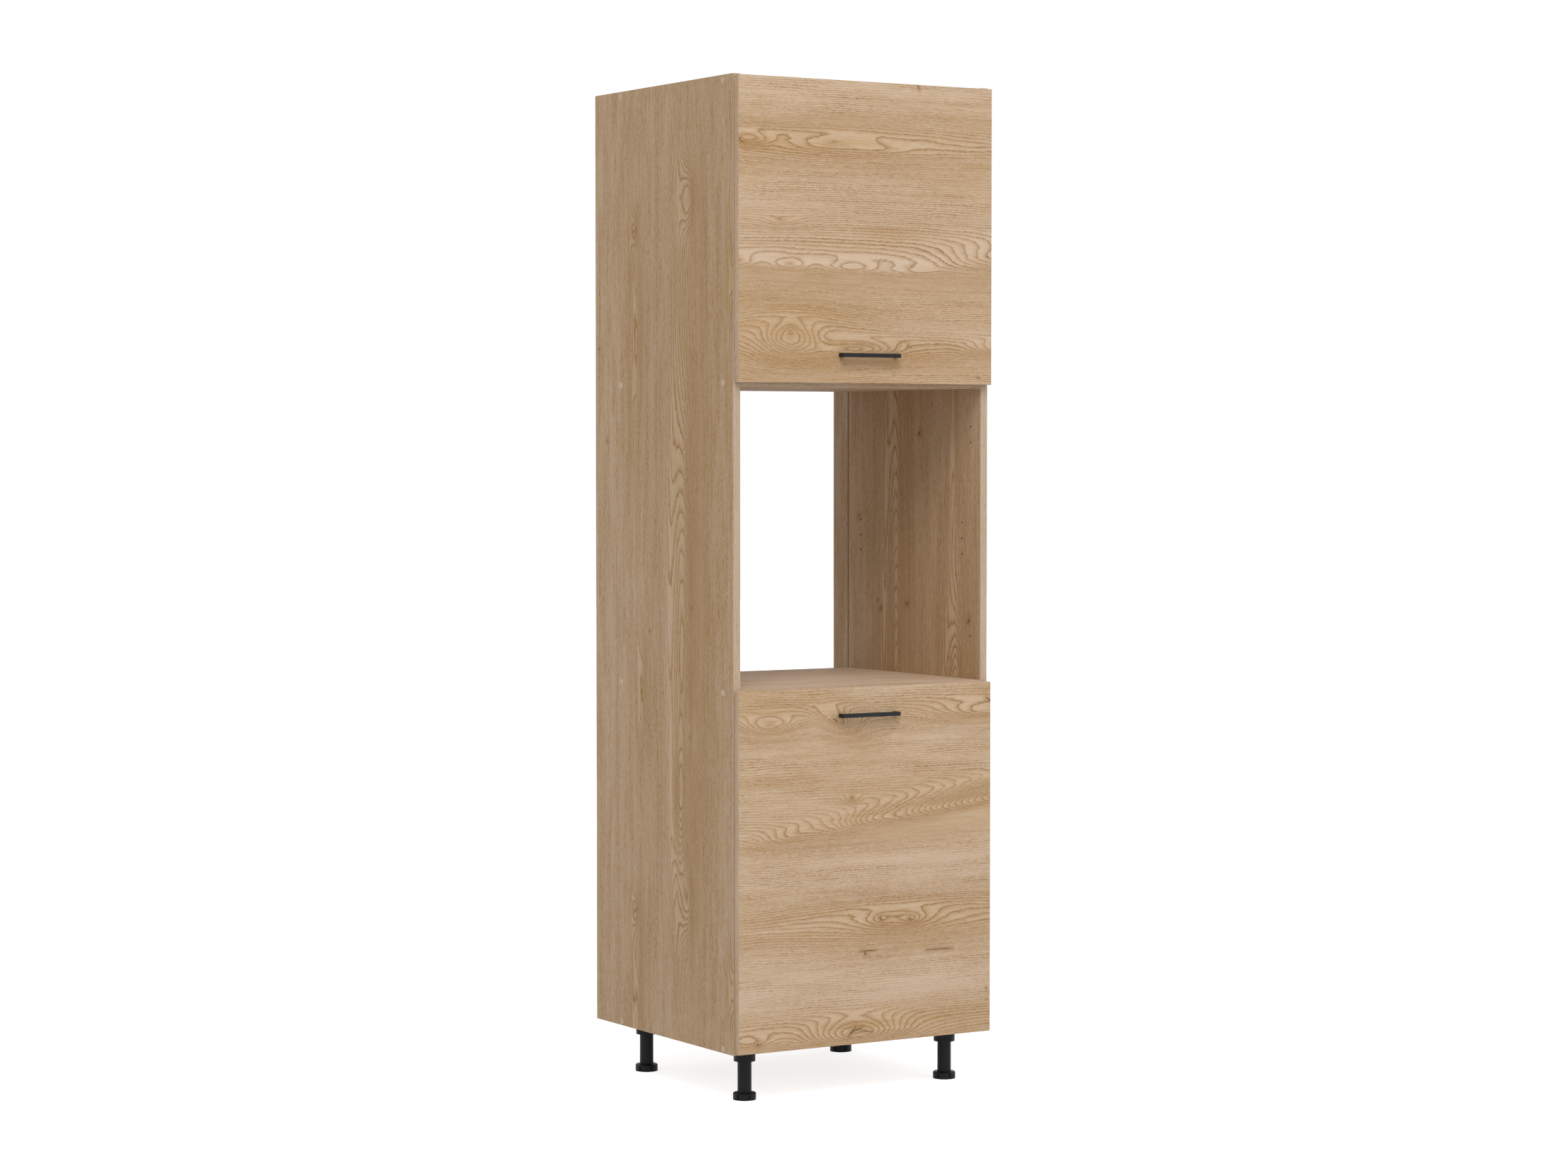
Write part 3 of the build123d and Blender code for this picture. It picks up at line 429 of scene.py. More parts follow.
def build_oak(g, given):
    """Oak decor from mm along and across the grain: colour, roughness and height of the surface."""
    along, across, seed, figure = given["Along"], given["Across"], given["Seed"], given["Figure"]

    def streaks(pattern):
        length, width, shift = pattern
        spot = g.combine(g.math("DIVIDE", along, length), g.math("DIVIDE", across, width),
                         g.math("ADD", seed, shift))
        return g.math("SUBTRACT", g.noise(spot), 0.5)

    def calmed(amount, share):
        """Amount of a wobble, less of it within a figure."""
        return g.math("MULTIPLY_ADD", figure, -amount * share, amount)

    steepness = g.math("ADD", given["Steepness"], LEAST_STEEPNESS)
    wave = g.math("MULTIPLY", streaks(WAVE), calmed(WAVE_RINGS, WAVE_CALMED))
    curl = g.math("MULTIPLY", streaks(CURL), calmed(CURL_RINGS, CURL_CALMED))
    jagged = g.math("MULTIPLY", streaks(JAG), g.math("MULTIPLY", steepness, JAG_REACH))
    height = g.math("DIVIDE", across, given["Pitch"])
    for part in (given["Rings"], wave, curl, jagged):
        height = g.math("ADD", height, part)
    place_in_ring = g.math("FRACT", height)
    dice = g.node("ShaderNodeTexWhiteNoise", {"W": g.math("FLOOR", height)}, noise_dimensions="1D")

    strength = g.math("MULTIPLY_ADD", dice.outputs["Value"], 1.0 - FAINTEST_RING, FAINTEST_RING)
    patches = g.span(streaks(PATCHES), -PATCH_EDGE, PATCH_EDGE, PATCH_FAINT, PATCH_STRONG)
    patches = g.math("MULTIPLY_ADD", given["Tint"], TINT_ON_LINES, patches)
    plain_strength = g.math("MULTIPLY", strength, g.math("MAXIMUM", patches, PATCH_LEAST))
    strength = g.blend(figure, plain_strength, g.math("MULTIPLY", strength, FIGURE_STRENGTH))
    strength = g.math("MULTIPLY", strength, g.span(steepness, *CROWDED, 1.0, CROWDED_STRENGTH))
    to_line = g.math("DIVIDE", g.math("SUBTRACT", 1.0, place_in_ring), steepness)
    late_strength = g.math("MULTIPLY_ADD", figure, LATE_WOOD_IN_FIGURE, LATE_WOOD_STRENGTH)
    late_wood = g.math("MULTIPLY", g.span(to_line, *LATE_WOOD), late_strength)
    past_line = g.span(g.math("DIVIDE", place_in_ring, steepness), LINE_TAIL, 0.0)
    tail = g.math("MULTIPLY", past_line, figure)
    profile = g.math("MAXIMUM", g.math("MAXIMUM", g.span(to_line, *LINE_CORE), tail), late_wood)
    line = g.math("MULTIPLY", g.math("MULTIPLY", profile, strength), given["Line"])
    open_pore = g.span(streaks(PORES), *PORE_EDGE)
    pore = g.math("MULTIPLY", open_pore, g.math("MULTIPLY_ADD", line, PORE_IN_LINE, PORE_IN_WOOD))

    tone, haze, fibre = streaks(TONES), streaks(HAZE), streaks(FIBRES)
    gold = g.math("MULTIPLY_ADD", tone, given["Bands"], g.math("MULTIPLY_ADD", haze, GOLD_FROM_HAZE, GOLD))
    gold = g.math("MULTIPLY_ADD", fibre, GOLD_FROM_FIBRES, gold)
    gold = g.math("MULTIPLY_ADD", figure, GOLD_IN_FIGURE, g.math("ADD", gold, given["Tint"]), clamp=True)
    colour = g.mix(gold, OAK_PALE, OAK_GOLD)
    colour = g.mix(g.math("MULTIPLY", line, LINE_COVER), colour, OAK_LINE)
    colour = g.mix(g.math("MULTIPLY", pore, PORE_COVER), colour, OAK_LINE)
    colour = g.mix(g.math("MULTIPLY", given["Halo"], HALO_COVER), colour, OAK_LINE)
    colour = g.mix(g.math("MULTIPLY", given["Split"], SPLIT_COVER), colour, OAK_MARK_AND_HOLE_SHADE)
    roughness = g.math("MULTIPLY_ADD", g.math("MAXIMUM", line, pore), GRAIN_ROUGHNESS, OAK_ROUGHNESS)
    return [colour, roughness, g.math("SUBTRACT", 1.0, open_pore)]


# Other finishes, sizes in mm
EDGE_LINE_PATCH = (9.0, 9.0, 9.0)
EDGE_LINE_LEAST = 0.1                # of the width of the edge line of painted highlight and wear
EDGE_LINE_UNEVEN = 1.6
CHIP_SIZE = (2.4, 2.4, 1.3)
CHIP_SHARE = 0.75
DUST_SIZE = (0.7, 0.7, 0.7)
DUST_SHARE = 0.35
SKIN_PATCH = (22.0, 22.0, 22.0)
SKIN_PATCH_EDGE = (0.35, 0.65)
STREAK_EDGE = (0.30, 0.70)
SPOT_SIZE = (6.0, 6.0, 6.0)
SPOT_EDGE = (0.42, 0.68)


def build_edge_highlight_and_wear(g, given):
    """Line along the sharp edges of a box, uneven like real handling: its paleness is a painted highlight,
    its roughness wear.
    """
    low = g.separate(g.vector("SUBTRACT", given["Position"], given["Low corner"]))
    high = g.separate(g.vector("SUBTRACT", given["High corner"], given["Position"]))
    x, y, z = (g.math("ABSOLUTE", g.math("MINIMUM", a, b)) for a, b in zip(low, high))
    smallest = g.math("MINIMUM", x, g.math("MINIMUM", y, z))
    largest = g.math("MAXIMUM", x, g.math("MAXIMUM", y, z))
    total = g.math("ADD", x, g.math("ADD", y, z))
    edge = g.math("SUBTRACT", g.math("SUBTRACT", total, smallest), largest)
    uneven = g.noise(g.vector("DIVIDE", given["Position"], EDGE_LINE_PATCH), detail=3.0)
    width = g.math("MULTIPLY", given["Width"], g.math("MULTIPLY_ADD", uneven, EDGE_LINE_UNEVEN, EDGE_LINE_LEAST))
    return [g.span(edge, width, 0.0)]


def build_chipboard(g, given):
    """Raw chipboard: pressed chips of several browns."""
    spot = g.vector("DIVIDE", given["Position"], CHIP_SIZE)
    chips = g.node("ShaderNodeTexVoronoi", {"Vector": spot, "Scale": 1.0})
    tint = g.separate(chips.outputs["Color"])[0]
    dust = g.noise(g.vector("DIVIDE", given["Position"], DUST_SIZE))
    shade = g.math("MULTIPLY_ADD", tint, CHIP_SHARE, g.math("MULTIPLY", dust, DUST_SHARE))
    return [g.mix(shade, CHIP_DARK, CHIP_PALE), shade]


def build_skin(g, given):
    """Fine moulded or sprayed skin: grain of the given size in mm, and broad uneven patches."""
    size = g.combine(given["Grain size"], given["Grain size"], given["Grain size"])
    grain = g.noise(g.vector("DIVIDE", given["Position"], size), roughness=0.6)
    patches = g.noise(g.vector("DIVIDE", given["Position"], SKIN_PATCH), detail=3.0)
    return [grain, g.span(patches, *SKIN_PATCH_EDGE)]


def build_drawn_steel(g, given):
    """Rolled and plated steel: streaks along the rolling direction, spots of duller plating."""
    streak_spot = g.vector("DIVIDE", given["Position"], given["Streak size"])
    streak = g.noise(streak_spot, detail=3.0, roughness=0.6)
    spots = g.noise(g.vector("DIVIDE", given["Position"], SPOT_SIZE), detail=4.0, roughness=0.65)
    return [g.span(streak, *STREAK_EDGE), g.span(spots, *SPOT_EDGE)]


def floats(*labels):
    """Float sockets of a group, by name."""
    return [(label, FLOAT) for label in labels]


def vectors(*labels):
    """Vector sockets of a group, by name."""
    return [(label, VECTOR) for label in labels]


ring_figure = group("ring_figure",
                    vectors("Grain", "Centre", "Reach", "Slope")
                    + floats("Rise", "Tilt", "Climb", "Sum", "Nearness"),
                    floats("Sum") + vectors("Slope") + floats("Nearness"), build_ring_figure)
split = group("wood_split", vectors("Grain", "Start", "End") + floats("Width", "Core", "Halo"),
              floats("Core", "Halo"), build_split)
oak = group("oak_decor",
            floats("Along", "Across", "Seed", "Rings", "Pitch", "Line", "Bands", "Steepness", "Figure",
                   "Tint", "Split", "Halo"),
            [("Colour", COLOUR)] + floats("Roughness", "Height"), build_oak)
edge_highlight_and_wear = group("edge_highlight_and_wear", vectors("Position", "Low corner", "High corner") + floats("Width"),
                  floats("Mask"), build_edge_highlight_and_wear)
chipboard = group("chipboard", vectors("Position"), [("Colour", COLOUR)] + floats("Height"), build_chipboard)
skin = group("fine_skin", vectors("Position") + floats("Grain size"), floats("Grain", "Patches"), build_skin)
drawn_steel = group("drawn_steel", vectors("Position", "Streak size"), floats("Streaks", "Spots"),
                    build_drawn_steel)


def place(graph, tree, **inputs):
    """Puts a node group into a graph; input names are written with underscores."""
    return graph.node("ShaderNodeGroup", {key.replace("_", " "): value for key, value in inputs.items()},
                      node_tree=tree).outputs


def new_material(name):
    material = bpy.data.materials.new(name)
    material.use_nodes = True
    material.node_tree.nodes.clear()
    return material, Graph(material.node_tree)


def finish_material(g, colour, roughness, height, bump, depth, **constants):
    """Principled surface with bump from the height, depth in metres, and the constants on its own sockets."""
    normal = g.node("ShaderNodeBump", {"Height": height, "Strength": bump, "Distance": depth}).outputs[0]
    varied = {"Base Color": colour, "Roughness": roughness, "Normal": normal}
    shader = g.node("ShaderNodeBsdfPrincipled", varied)
    for key, value in constants.items():
        shader.inputs[key.replace("_", " ")].default_value = value
    out = g.node("ShaderNodeOutputMaterial")
    g.tree.links.new(shader.outputs[0], out.inputs["Surface"])


# Boards: what each kind shows, on which faces, and how it is finished
MM = 1000.0                     # in a metre
X, Y, Z = 0, 1, 2
BACK, UP, DOWN = (0, 1, 0), (0, 0, 1), (0, 0, -1)
RAW_EDGES = {"oak_side": (BACK, UP, DOWN), "oak_panel": (BACK,), "oak_box": (DOWN,)}
FIGURES = {"upper_front": UPPER_FIGURES, "lower_front": LOWER_FIGURES,
           "left_side_panel": LEFT_FIGURES, "right_side_panel": RIGHT_FIGURES}
TINTS = {"upper_front": UPPER_TINTS, "lower_front": LOWER_TINTS, "left_side_panel": LEFT_TINTS,
         "right_side_panel": RIGHT_TINTS, "niche_floor_panel": NICHE_FLOOR_PAINTED_LIGHT}
MARKS = {"upper_front": UPPER_MARKS, "lower_front": LOWER_MARKS,
         "left_side_panel": LEFT_MARKS, "right_side_panel": RIGHT_MARKS}
EDGE_PALENESS = {"oak_side": 0.45, "oak_panel": 0.20}
LINE_STRENGTH = {"oak_side": 1.08, "oak_box": 0.70}     # 1 on the other boards
BAND_STRENGTH = {"oak_side": 0.40}
FULL_BANDS = 0.80               # on the other boards
EDGE_LINES = 0.9                # strength of the ring lines on edges
RING_PITCH = 4.8                # mm
PLAIN_STEEPNESS = 1.0 / RING_PITCH
FACING = 0.7                    # of a normal along an axis, from which a surface counts as facing that way
RAGGED_SIZE = (4.0, 4.0, 4.0)   # mm
RAGGED_ALONG = 2.4              # mm that the rim of a split strays
RAGGED_ACROSS = 1.6
# Edge line along sharp edges: its paleness is a painted highlight, its added roughness is wear
EDGE_LINE_WIDTH = 0.7                # mm
EDGE_HIGHLIGHT_PALENESS = 0.25
WEAR_ROUGHNESS = 0.10
CHIP_ROUGHNESS = 0.85
BORE_INSET = 1.5                # mm from a board's edges, where holes and grooves begin
BORE_DEPTH = (0.3, 0.7)         # mm under a face, over which the decor ends in a hole
BORE_PAINTED_SHADE = 0.5                # painted shade: how far raw chipboard in a hole is darkened towards the colour of marks
OAK_BUMP = 0.14
OAK_SPECULAR = 0.06
BOARD_BUMP_DEPTH = 0.0005       # metres
FIBRE_SIZE = (1.1, 1.1, 1.1)    # mm
FIBRE_SHARE = 0.9
CLOUD_SIZE = (60.0, 60.0, 60.0)
CLOUD_SHARE = 0.2
FIBRE_SHADES = (0.35, 0.75)
FIBRE_ROUGHNESS = 0.8
FIBRE_BUMP = 0.2
FIBRE_SPECULAR = 0.3
PRINT_LINES = 0.6               # on the inside of a back board
PRINT_BANDS = 0.40
PRINT_FACING = -0.5             # along Y, under which a back board shows its print


def surface(g):
    """Position in mm and normal, both in the piece's own frame."""
    coordinates = g.node("ShaderNodeTexCoord").outputs
    position = g.vector("MULTIPLY", coordinates["Object"], (MM, MM, MM))
    return position, coordinates["Normal"]


def largest(g, values):
    """Largest of several values, 0 if there are none."""
    result = 0.0
    for value in values:
        result = g.math("MAXIMUM", result, value)
    return result


def figured(g, node, grain, ragged_grain, spot):
    """The board's own figures: ring sum, nearness, tint, split core and halo, and then the rings' slope."""
    rings, near, tint, core, halo = 0.0, 0.0, 0.0, 0.0, 0.0
    slope = (0.0, PLAIN_STEEPNESS, 0.0)
    for x, down, length, width, rise, tilt, level in FIGURES.get(node, ()):
        figure = place(g, ring_figure, Grain=grain, Centre=spot(x, down), Reach=(length, width, 1), Rise=rise,
                       Tilt=tilt, Climb=level / RING_PITCH, Sum=rings, Slope=slope, Nearness=near)
        rings, slope, near = figure["Sum"], figure["Slope"], figure["Nearness"]
    for x, down, length, width, amount in TINTS.get(node, ()):
        tint = place(g, ring_figure, Grain=grain, Centre=spot(x, down), Reach=(length, width, 1),
                     Rise=amount, Sum=tint)["Sum"]
    for x, down, to_x, to_down, width in MARKS.get(node, ()):
        mark = place(g, split, Grain=ragged_grain, Start=spot(x, down), End=spot(to_x, to_down),
                     Width=width, Core=core, Halo=halo)
        core, halo = mark["Core"], mark["Halo"]
    return (rings, near, tint, core, halo), slope


def oak_board(node, slot, seed):
    """Oak decor on one board, its grain along the board and along each banded edge."""
    material, g = new_material("oak_" + node)
    low, high = (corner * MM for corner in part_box(node))
    sizes = high - low
    thick = min((X, Y, Z), key=lambda axis: sizes[axis])
    faces = [axis for axis in (X, Y, Z) if axis != thick]
    along = X if slot == "oak_front" else max(faces, key=lambda axis: sizes[axis])
    wide = next(axis for axis in faces if axis != along)
    position, normal = surface(g)
    point = g.separate(position)
    facing = [g.math("GREATER_THAN", g.math("ABSOLUTE", part), FACING) for part in g.separate(normal)]
    edge = g.math("MAXIMUM", facing[along], facing[wide])
    along_grain = g.blend(facing[along], point[along], point[wide])
    across_grain = g.blend(edge, point[wide], point[thick])
    ragged = g.noise(g.vector("DIVIDE", position, RAGGED_SIZE))
    grain = g.combine(point[along], point[wide], 0.0)
    stray = g.combine(g.math("MULTIPLY", ragged, RAGGED_ALONG), g.math("MULTIPLY", ragged, RAGGED_ACROSS), 0)
    ragged_grain = g.vector("ADD", grain, stray)

    def spot(x, down):
        """Point of the board's face in mm along and across the grain."""
        if along == Z:
            return high.z - down, low.y + x, 0.0
        return low.x + x, (high.z - down if wide == Z else low.y + down), 0.0

    on_face, slope = figured(g, node, grain, ragged_grain, spot)
    face = g.math("SUBTRACT", 1.0, edge)
    rings, near, tint, core, halo = (g.math("MULTIPLY", value, face) for value in on_face)
    steepness = g.blend(edge, g.vector("LENGTH", slope), PLAIN_STEEPNESS)
    lines = g.blend(edge, LINE_STRENGTH.get(slot, 1.0), EDGE_LINES)
    wood = place(g, oak, Along=along_grain, Across=across_grain, Seed=seed, Pitch=RING_PITCH, Line=lines,
                 Bands=BAND_STRENGTH.get(slot, FULL_BANDS), Rings=rings, Steepness=steepness, Figure=near,
                 Tint=tint, Split=core, Halo=halo)
    # Edge line: paler as a painted highlight, rougher as wear
    mix_share = place(g, edge_highlight_and_wear, Position=position, Low_corner=low, High_corner=high, Width=EDGE_LINE_WIDTH)["Mask"]
    pale_edge = g.math("MULTIPLY", edge, EDGE_PALENESS.get(slot, 0.0))
    pale = g.math("MAXIMUM", pale_edge, g.math("MULTIPLY", mix_share, EDGE_HIGHLIGHT_PALENESS))
    colour = g.mix(pale, wood["Colour"], OAK_EDGE)
    chips = place(g, chipboard, Position=position)
    raw = largest(g, [g.math("GREATER_THAN", g.vector("DOT_PRODUCT", normal, way), FACING)
                      for way in RAW_EDGES.get(slot, ())])
    from_low, from_high = g.vector("SUBTRACT", position, low), g.vector("SUBTRACT", high, position)
    to_faces = g.separate(g.vector("MINIMUM", from_low, from_high))
    inset = g.math("GREATER_THAN", g.math("MINIMUM", to_faces[along], to_faces[wide]), BORE_INSET)
    bore_chips_and_shade = g.math("MULTIPLY", g.span(to_faces[thick], *BORE_DEPTH), inset)
    colour = g.mix(raw, colour, chips["Colour"])
    # Holes and grooves show raw chipboard, darkened further as painted shade
    colour = g.mix(bore_chips_and_shade, colour, g.mix(BORE_PAINTED_SHADE, chips["Colour"], OAK_MARK_AND_HOLE_SHADE))
    rough_wood = g.blend(raw, wood["Roughness"], CHIP_ROUGHNESS)
    roughness = g.math("MULTIPLY_ADD", mix_share, WEAR_ROUGHNESS, rough_wood)
    height = g.blend(raw, wood["Height"], chips["Height"])
    finish_material(g, colour, roughness, height, OAK_BUMP, BOARD_BUMP_DEPTH, Specular_IOR_Level=OAK_SPECULAR)
    return material


def back_board(node, seed):
    """Thin fibreboard: plain oak print on the inside, pressed brown fibres behind."""
    material, g = new_material("fibre_" + node)
    position, normal = surface(g)
    point = g.separate(position)
    wood = place(g, oak, Along=point[Z], Across=point[X], Seed=seed, Pitch=RING_PITCH, Line=PRINT_LINES,
                 Bands=PRINT_BANDS, Steepness=PLAIN_STEEPNESS)
    fibres = g.noise(g.vector("DIVIDE", position, FIBRE_SIZE), detail=4.0, roughness=0.7)
    clouds = g.noise(g.vector("DIVIDE", position, CLOUD_SIZE))
    shade = g.math("MULTIPLY_ADD", clouds, CLOUD_SHARE, g.math("MULTIPLY", fibres, FIBRE_SHARE))
    shade = g.span(shade, *FIBRE_SHADES)
    behind = g.math("GREATER_THAN", g.separate(normal)[Y], PRINT_FACING)
    colour = g.mix(behind, wood["Colour"], g.mix(shade, FIBRE_DARK, FIBRE_PALE))
    roughness = g.blend(behind, wood["Roughness"], FIBRE_ROUGHNESS)
    height = g.blend(behind, wood["Height"], fibres)
    finish_material(g, colour, roughness, height, FIBRE_BUMP, BOARD_BUMP_DEPTH,
                    Specular_IOR_Level=FIBRE_SPECULAR)
    return material


# Plastics, coats and plated steel
SKIN_SHADE_GRAIN = 0.5          # share of the second colour in the skin's grain
SKIN_SHADE_PATCHES = 0.4        # and in its patches
SKIN_ROUGH_GRAIN = 0.12
SKIN_ROUGH_PATCHES = 0.10
FINE_BUMP_DEPTH = 0.0002        # metres
STREAK_DULL = 0.45              # share of the dull colour in a steel's streaks
STEEL_ROUGH = 0.16              # more where it is dull
STEEL_BUMP = 0.05


def skinned(name, colour, shade, grain_size, roughness, bump, **constants):
    """Moulded plastic, rubber or sprayed coat with a fine skin, its grain in mm."""
    material, g = new_material(name)
    position, _ = surface(g)
    finish = place(g, skin, Position=position, Grain_size=grain_size)
    patchy = g.math("MULTIPLY", finish["Patches"], SKIN_SHADE_PATCHES)
    mixed = g.mix(g.math("MULTIPLY_ADD", finish["Grain"], SKIN_SHADE_GRAIN, patchy), colour, shade)
    uneven = g.math("MULTIPLY_ADD", finish["Grain"], SKIN_ROUGH_GRAIN, roughness)
    uneven = g.math("MULTIPLY_ADD", finish["Patches"], SKIN_ROUGH_PATCHES, uneven)
    finish_material(g, mixed, uneven, finish["Grain"], bump, FINE_BUMP_DEPTH, **constants)
    return material


def plated(name, bright, dull, streak_size, spotted, roughness):
    """Plated sheet steel, streaked along its rolling direction: streaks in mm, share of dull spots."""
    material, g = new_material(name)
    position, _ = surface(g)
    steel = place(g, drawn_steel, Position=position, Streak_size=streak_size)
    mix_share = g.math("MULTIPLY_ADD", steel["Streaks"], STREAK_DULL, g.math("MULTIPLY", steel["Spots"], spotted))
    uneven = g.math("MULTIPLY_ADD", mix_share, STEEL_ROUGH, roughness)
    colour = g.mix(mix_share, bright, dull)
    finish_material(g, colour, uneven, steel["Streaks"], STEEL_BUMP, FINE_BUMP_DEPTH, Metallic=1.0)
    return material


slot_materials = {
    "black_metal": skinned("black_powder_coat", COAT_BLACK, COAT_WORN, grain_size=0.45, roughness=0.36,
                           bump=0.25, Specular_IOR_Level=0.24),
    "black_plastic": skinned("black_moulding", PLASTIC_BLACK, PLASTIC_SCUFFED, grain_size=0.30,
                             roughness=0.36, bump=0.20, Specular_IOR_Level=0.16),
    "cover_plastic": skinned("tan_cover_moulding", COVER_TAN, COVER_SHADE, grain_size=0.60, roughness=0.42,
                             bump=0.15, Specular_IOR_Level=0.3),
    "housing_plastic": skinned("grey_moulding", HOUSING_GREY, HOUSING_SHADE, grain_size=0.35,
                               roughness=0.38, bump=0.25),
    "soft_pad": skinned("clear_rubber", PAD_CLEAR, PAD_SHADE, grain_size=0.80, roughness=0.30, bump=0.10),
    "nickel_steel": plated("nickel_plate", NICKEL_BRIGHT, NICKEL_DULL, streak_size=(0.6, 5.0, 12.0),
                           spotted=0.15, roughness=0.22),
    "zinc_steel": plated("zinc_plate", ZINC_BRIGHT, ZINC_DULL, streak_size=(0.5, 40.0, 0.5), spotted=0.40,
                         roughness=0.28),
    "screw_steel": plated("screw_plate", SCREW_BRIGHT, SCREW_DULL, streak_size=(0.8, 0.8, 0.8), spotted=0.15,
                          roughness=0.26),
}
SEED_STEP = 7.3                 # keeps the boards' patterns apart
for index, subpart in enumerate(frame["record"]["subparts"]):
    node, slot = subpart["node"], subpart["material_slot"]
    seed = SEED_STEP * (index + 1)
    if slot.startswith("oak"):
        material = oak_board(node, slot, seed)
    elif slot == "back_board":
        material = back_board(node, seed)
    else:
        material = slot_materials[slot]
    mesh = frame["nodes"][node].data
    mesh.materials.clear()
    mesh.materials.append(material)


# Screws with a domed head and a cross recess, in shares of the head's radius and height
DOME_SHARE = 0.45               # of the head's height
RECESS_LENGTH = 1.10
RECESS_WIDTH = 0.24
RECESS_DEPTH = 0.65
SHANK_OVERLAP = 0.2             # of the head's height
RIM_SHARE = 0.97                # of the head's radius, from which a point is on its rim
ROUND_STEPS = 32
BALL_RINGS = 60
SHARP_ANGLE = 0.5               # radians between faces, from which an edge stays sharp
MERGE_DISTANCE = 1e-6           # metres
SCREW_SIZES = ("Head radius", "Head height", "Shank radius", "Shank length")
SCREW_BODIES = {"fitting_screws": "carcass", "flap_screws": "flap", "upper_handle_screws": "flap",
                "box_screws": "pull_out", "lower_handle_screws": "pull_out"}


def screw_tree():
    """Screws on the points given, each along its point's direction: the head outside, the shank inside."""
    tree = bpy.data.node_groups.new("cross_recess_screws", "GeometryNodeTree")
    tree.interface.new_socket("Points", in_out="INPUT", socket_type="NodeSocketGeometry")
    for label in SCREW_SIZES:
        tree.interface.new_socket(label, in_out="INPUT", socket_type=FLOAT)
    tree.interface.new_socket("Finish", in_out="INPUT", socket_type="NodeSocketMaterial")
    tree.interface.new_socket("Screws", in_out="OUTPUT", socket_type="NodeSocketGeometry")
    g = Graph(tree)
    given = tree.nodes.new("NodeGroupInput").outputs
    radius, height, shank_radius, shank_length = (given[label] for label in SCREW_SIZES)

    def raised(shape, level):
        inputs = {"Geometry": shape, "Translation": g.combine(0, 0, level)}
        return g.node("GeometryNodeTransform", inputs).outputs[0]

    def disc(disc_radius, depth, level):
        inputs = {"Vertices": ROUND_STEPS, "Radius": disc_radius, "Depth": depth}
        return raised(g.node("GeometryNodeMeshCylinder", inputs).outputs["Mesh"], level)

    def joined(operation, first, *others):
        made = g.node("GeometryNodeMeshBoolean", operation=operation, solver="EXACT")
        if operation == "DIFFERENCE":
            tree.links.new(first, made.inputs[0])
        else:
            others = (first,) + others
        for shape in others:
            tree.links.new(shape, made.inputs[1])
        return made.outputs["Mesh"]

    dome = g.math("MULTIPLY", height, DOME_SHARE)
    squares = g.math("MULTIPLY_ADD", radius, radius, g.math("MULTIPLY", dome, dome))
    ball_radius = g.math("DIVIDE", squares, g.math("MULTIPLY", dome, 2.0))
    ball_sizes = {"Segments": ROUND_STEPS, "Rings": BALL_RINGS, "Radius": ball_radius}
    ball = g.node("GeometryNodeMeshUVSphere", ball_sizes)
    head = joined("INTERSECT", disc(radius, height, g.math("MULTIPLY", height, 0.5)),
                  raised(ball.outputs["Mesh"], g.math("SUBTRACT", height, ball_radius)))
    long_way = g.math("MULTIPLY", radius, RECESS_LENGTH)
    short_way = g.math("MULTIPLY", radius, RECESS_WIDTH)
    deep = g.math("MULTIPLY", height, 2 * RECESS_DEPTH)
    bars = [raised(g.node("GeometryNodeMeshCube", {"Size": g.combine(x, y, deep)}).outputs["Mesh"], height)
            for x, y in ((long_way, short_way), (short_way, long_way))]
    overlap = g.math("MULTIPLY", height, SHANK_OVERLAP)
    shank = disc(shank_radius, g.math("ADD", shank_length, overlap),
                 g.math("MULTIPLY", g.math("SUBTRACT", overlap, shank_length), 0.5))
    screw = joined("DIFFERENCE", joined("UNION", head, shank), *bars)
    screw = g.node("GeometryNodeSetShadeSmooth", {"Geometry": screw, "Shade Smooth": True}).outputs[0]
    angle = g.node("GeometryNodeInputMeshEdgeAngle").outputs["Unsigned Angle"]
    bent = g.math("GREATER_THAN", angle, SHARP_ANGLE)
    sharp = {"Geometry": screw, "Selection": bent, "Shade Smooth": False}
    screw = g.node("GeometryNodeSetShadeSmooth", sharp, domain="EDGE").outputs[0]
    direction = g.node("GeometryNodeInputNamedAttribute", {"Name": "direction"}, data_type="FLOAT_VECTOR")
    turn = g.node("FunctionNodeAlignRotationToVector", {"Vector": direction.outputs[0]}, axis="Z")
    copies = {"Points": given["Points"], "Instance": screw, "Rotation": turn.outputs[0]}
    placed = g.node("GeometryNodeInstanceOnPoints", copies).outputs[0]
    real = g.node("GeometryNodeRealizeInstances", {"Geometry": placed}).outputs[0]
    done = g.node("GeometryNodeSetMaterial", {"Geometry": real, "Material": given["Finish"]}).outputs[0]
    tree.links.new(done, tree.nodes.new("NodeGroupOutput").inputs[0])
    return tree


def solids_of(node):
    """Points of each separate solid in a CAD node, in the same order each run."""
    copy = bmesh.new()
    copy.from_mesh(frame["nodes"][node].data)
    bmesh.ops.remove_doubles(copy, verts=copy.verts, dist=MERGE_DISTANCE)
    left, solids = dict.fromkeys(copy.verts), []
    while left:
        waiting, points = [left.popitem()[0]], []
        while waiting:
            vertex = waiting.pop()
            points.append(vertex.co.copy())
            for edge in vertex.link_edges:
                other = edge.other_vert(vertex)
                if other in left:
                    del left[other]
                    waiting.append(other)
        solids.append(points)
    copy.free()
    return solids


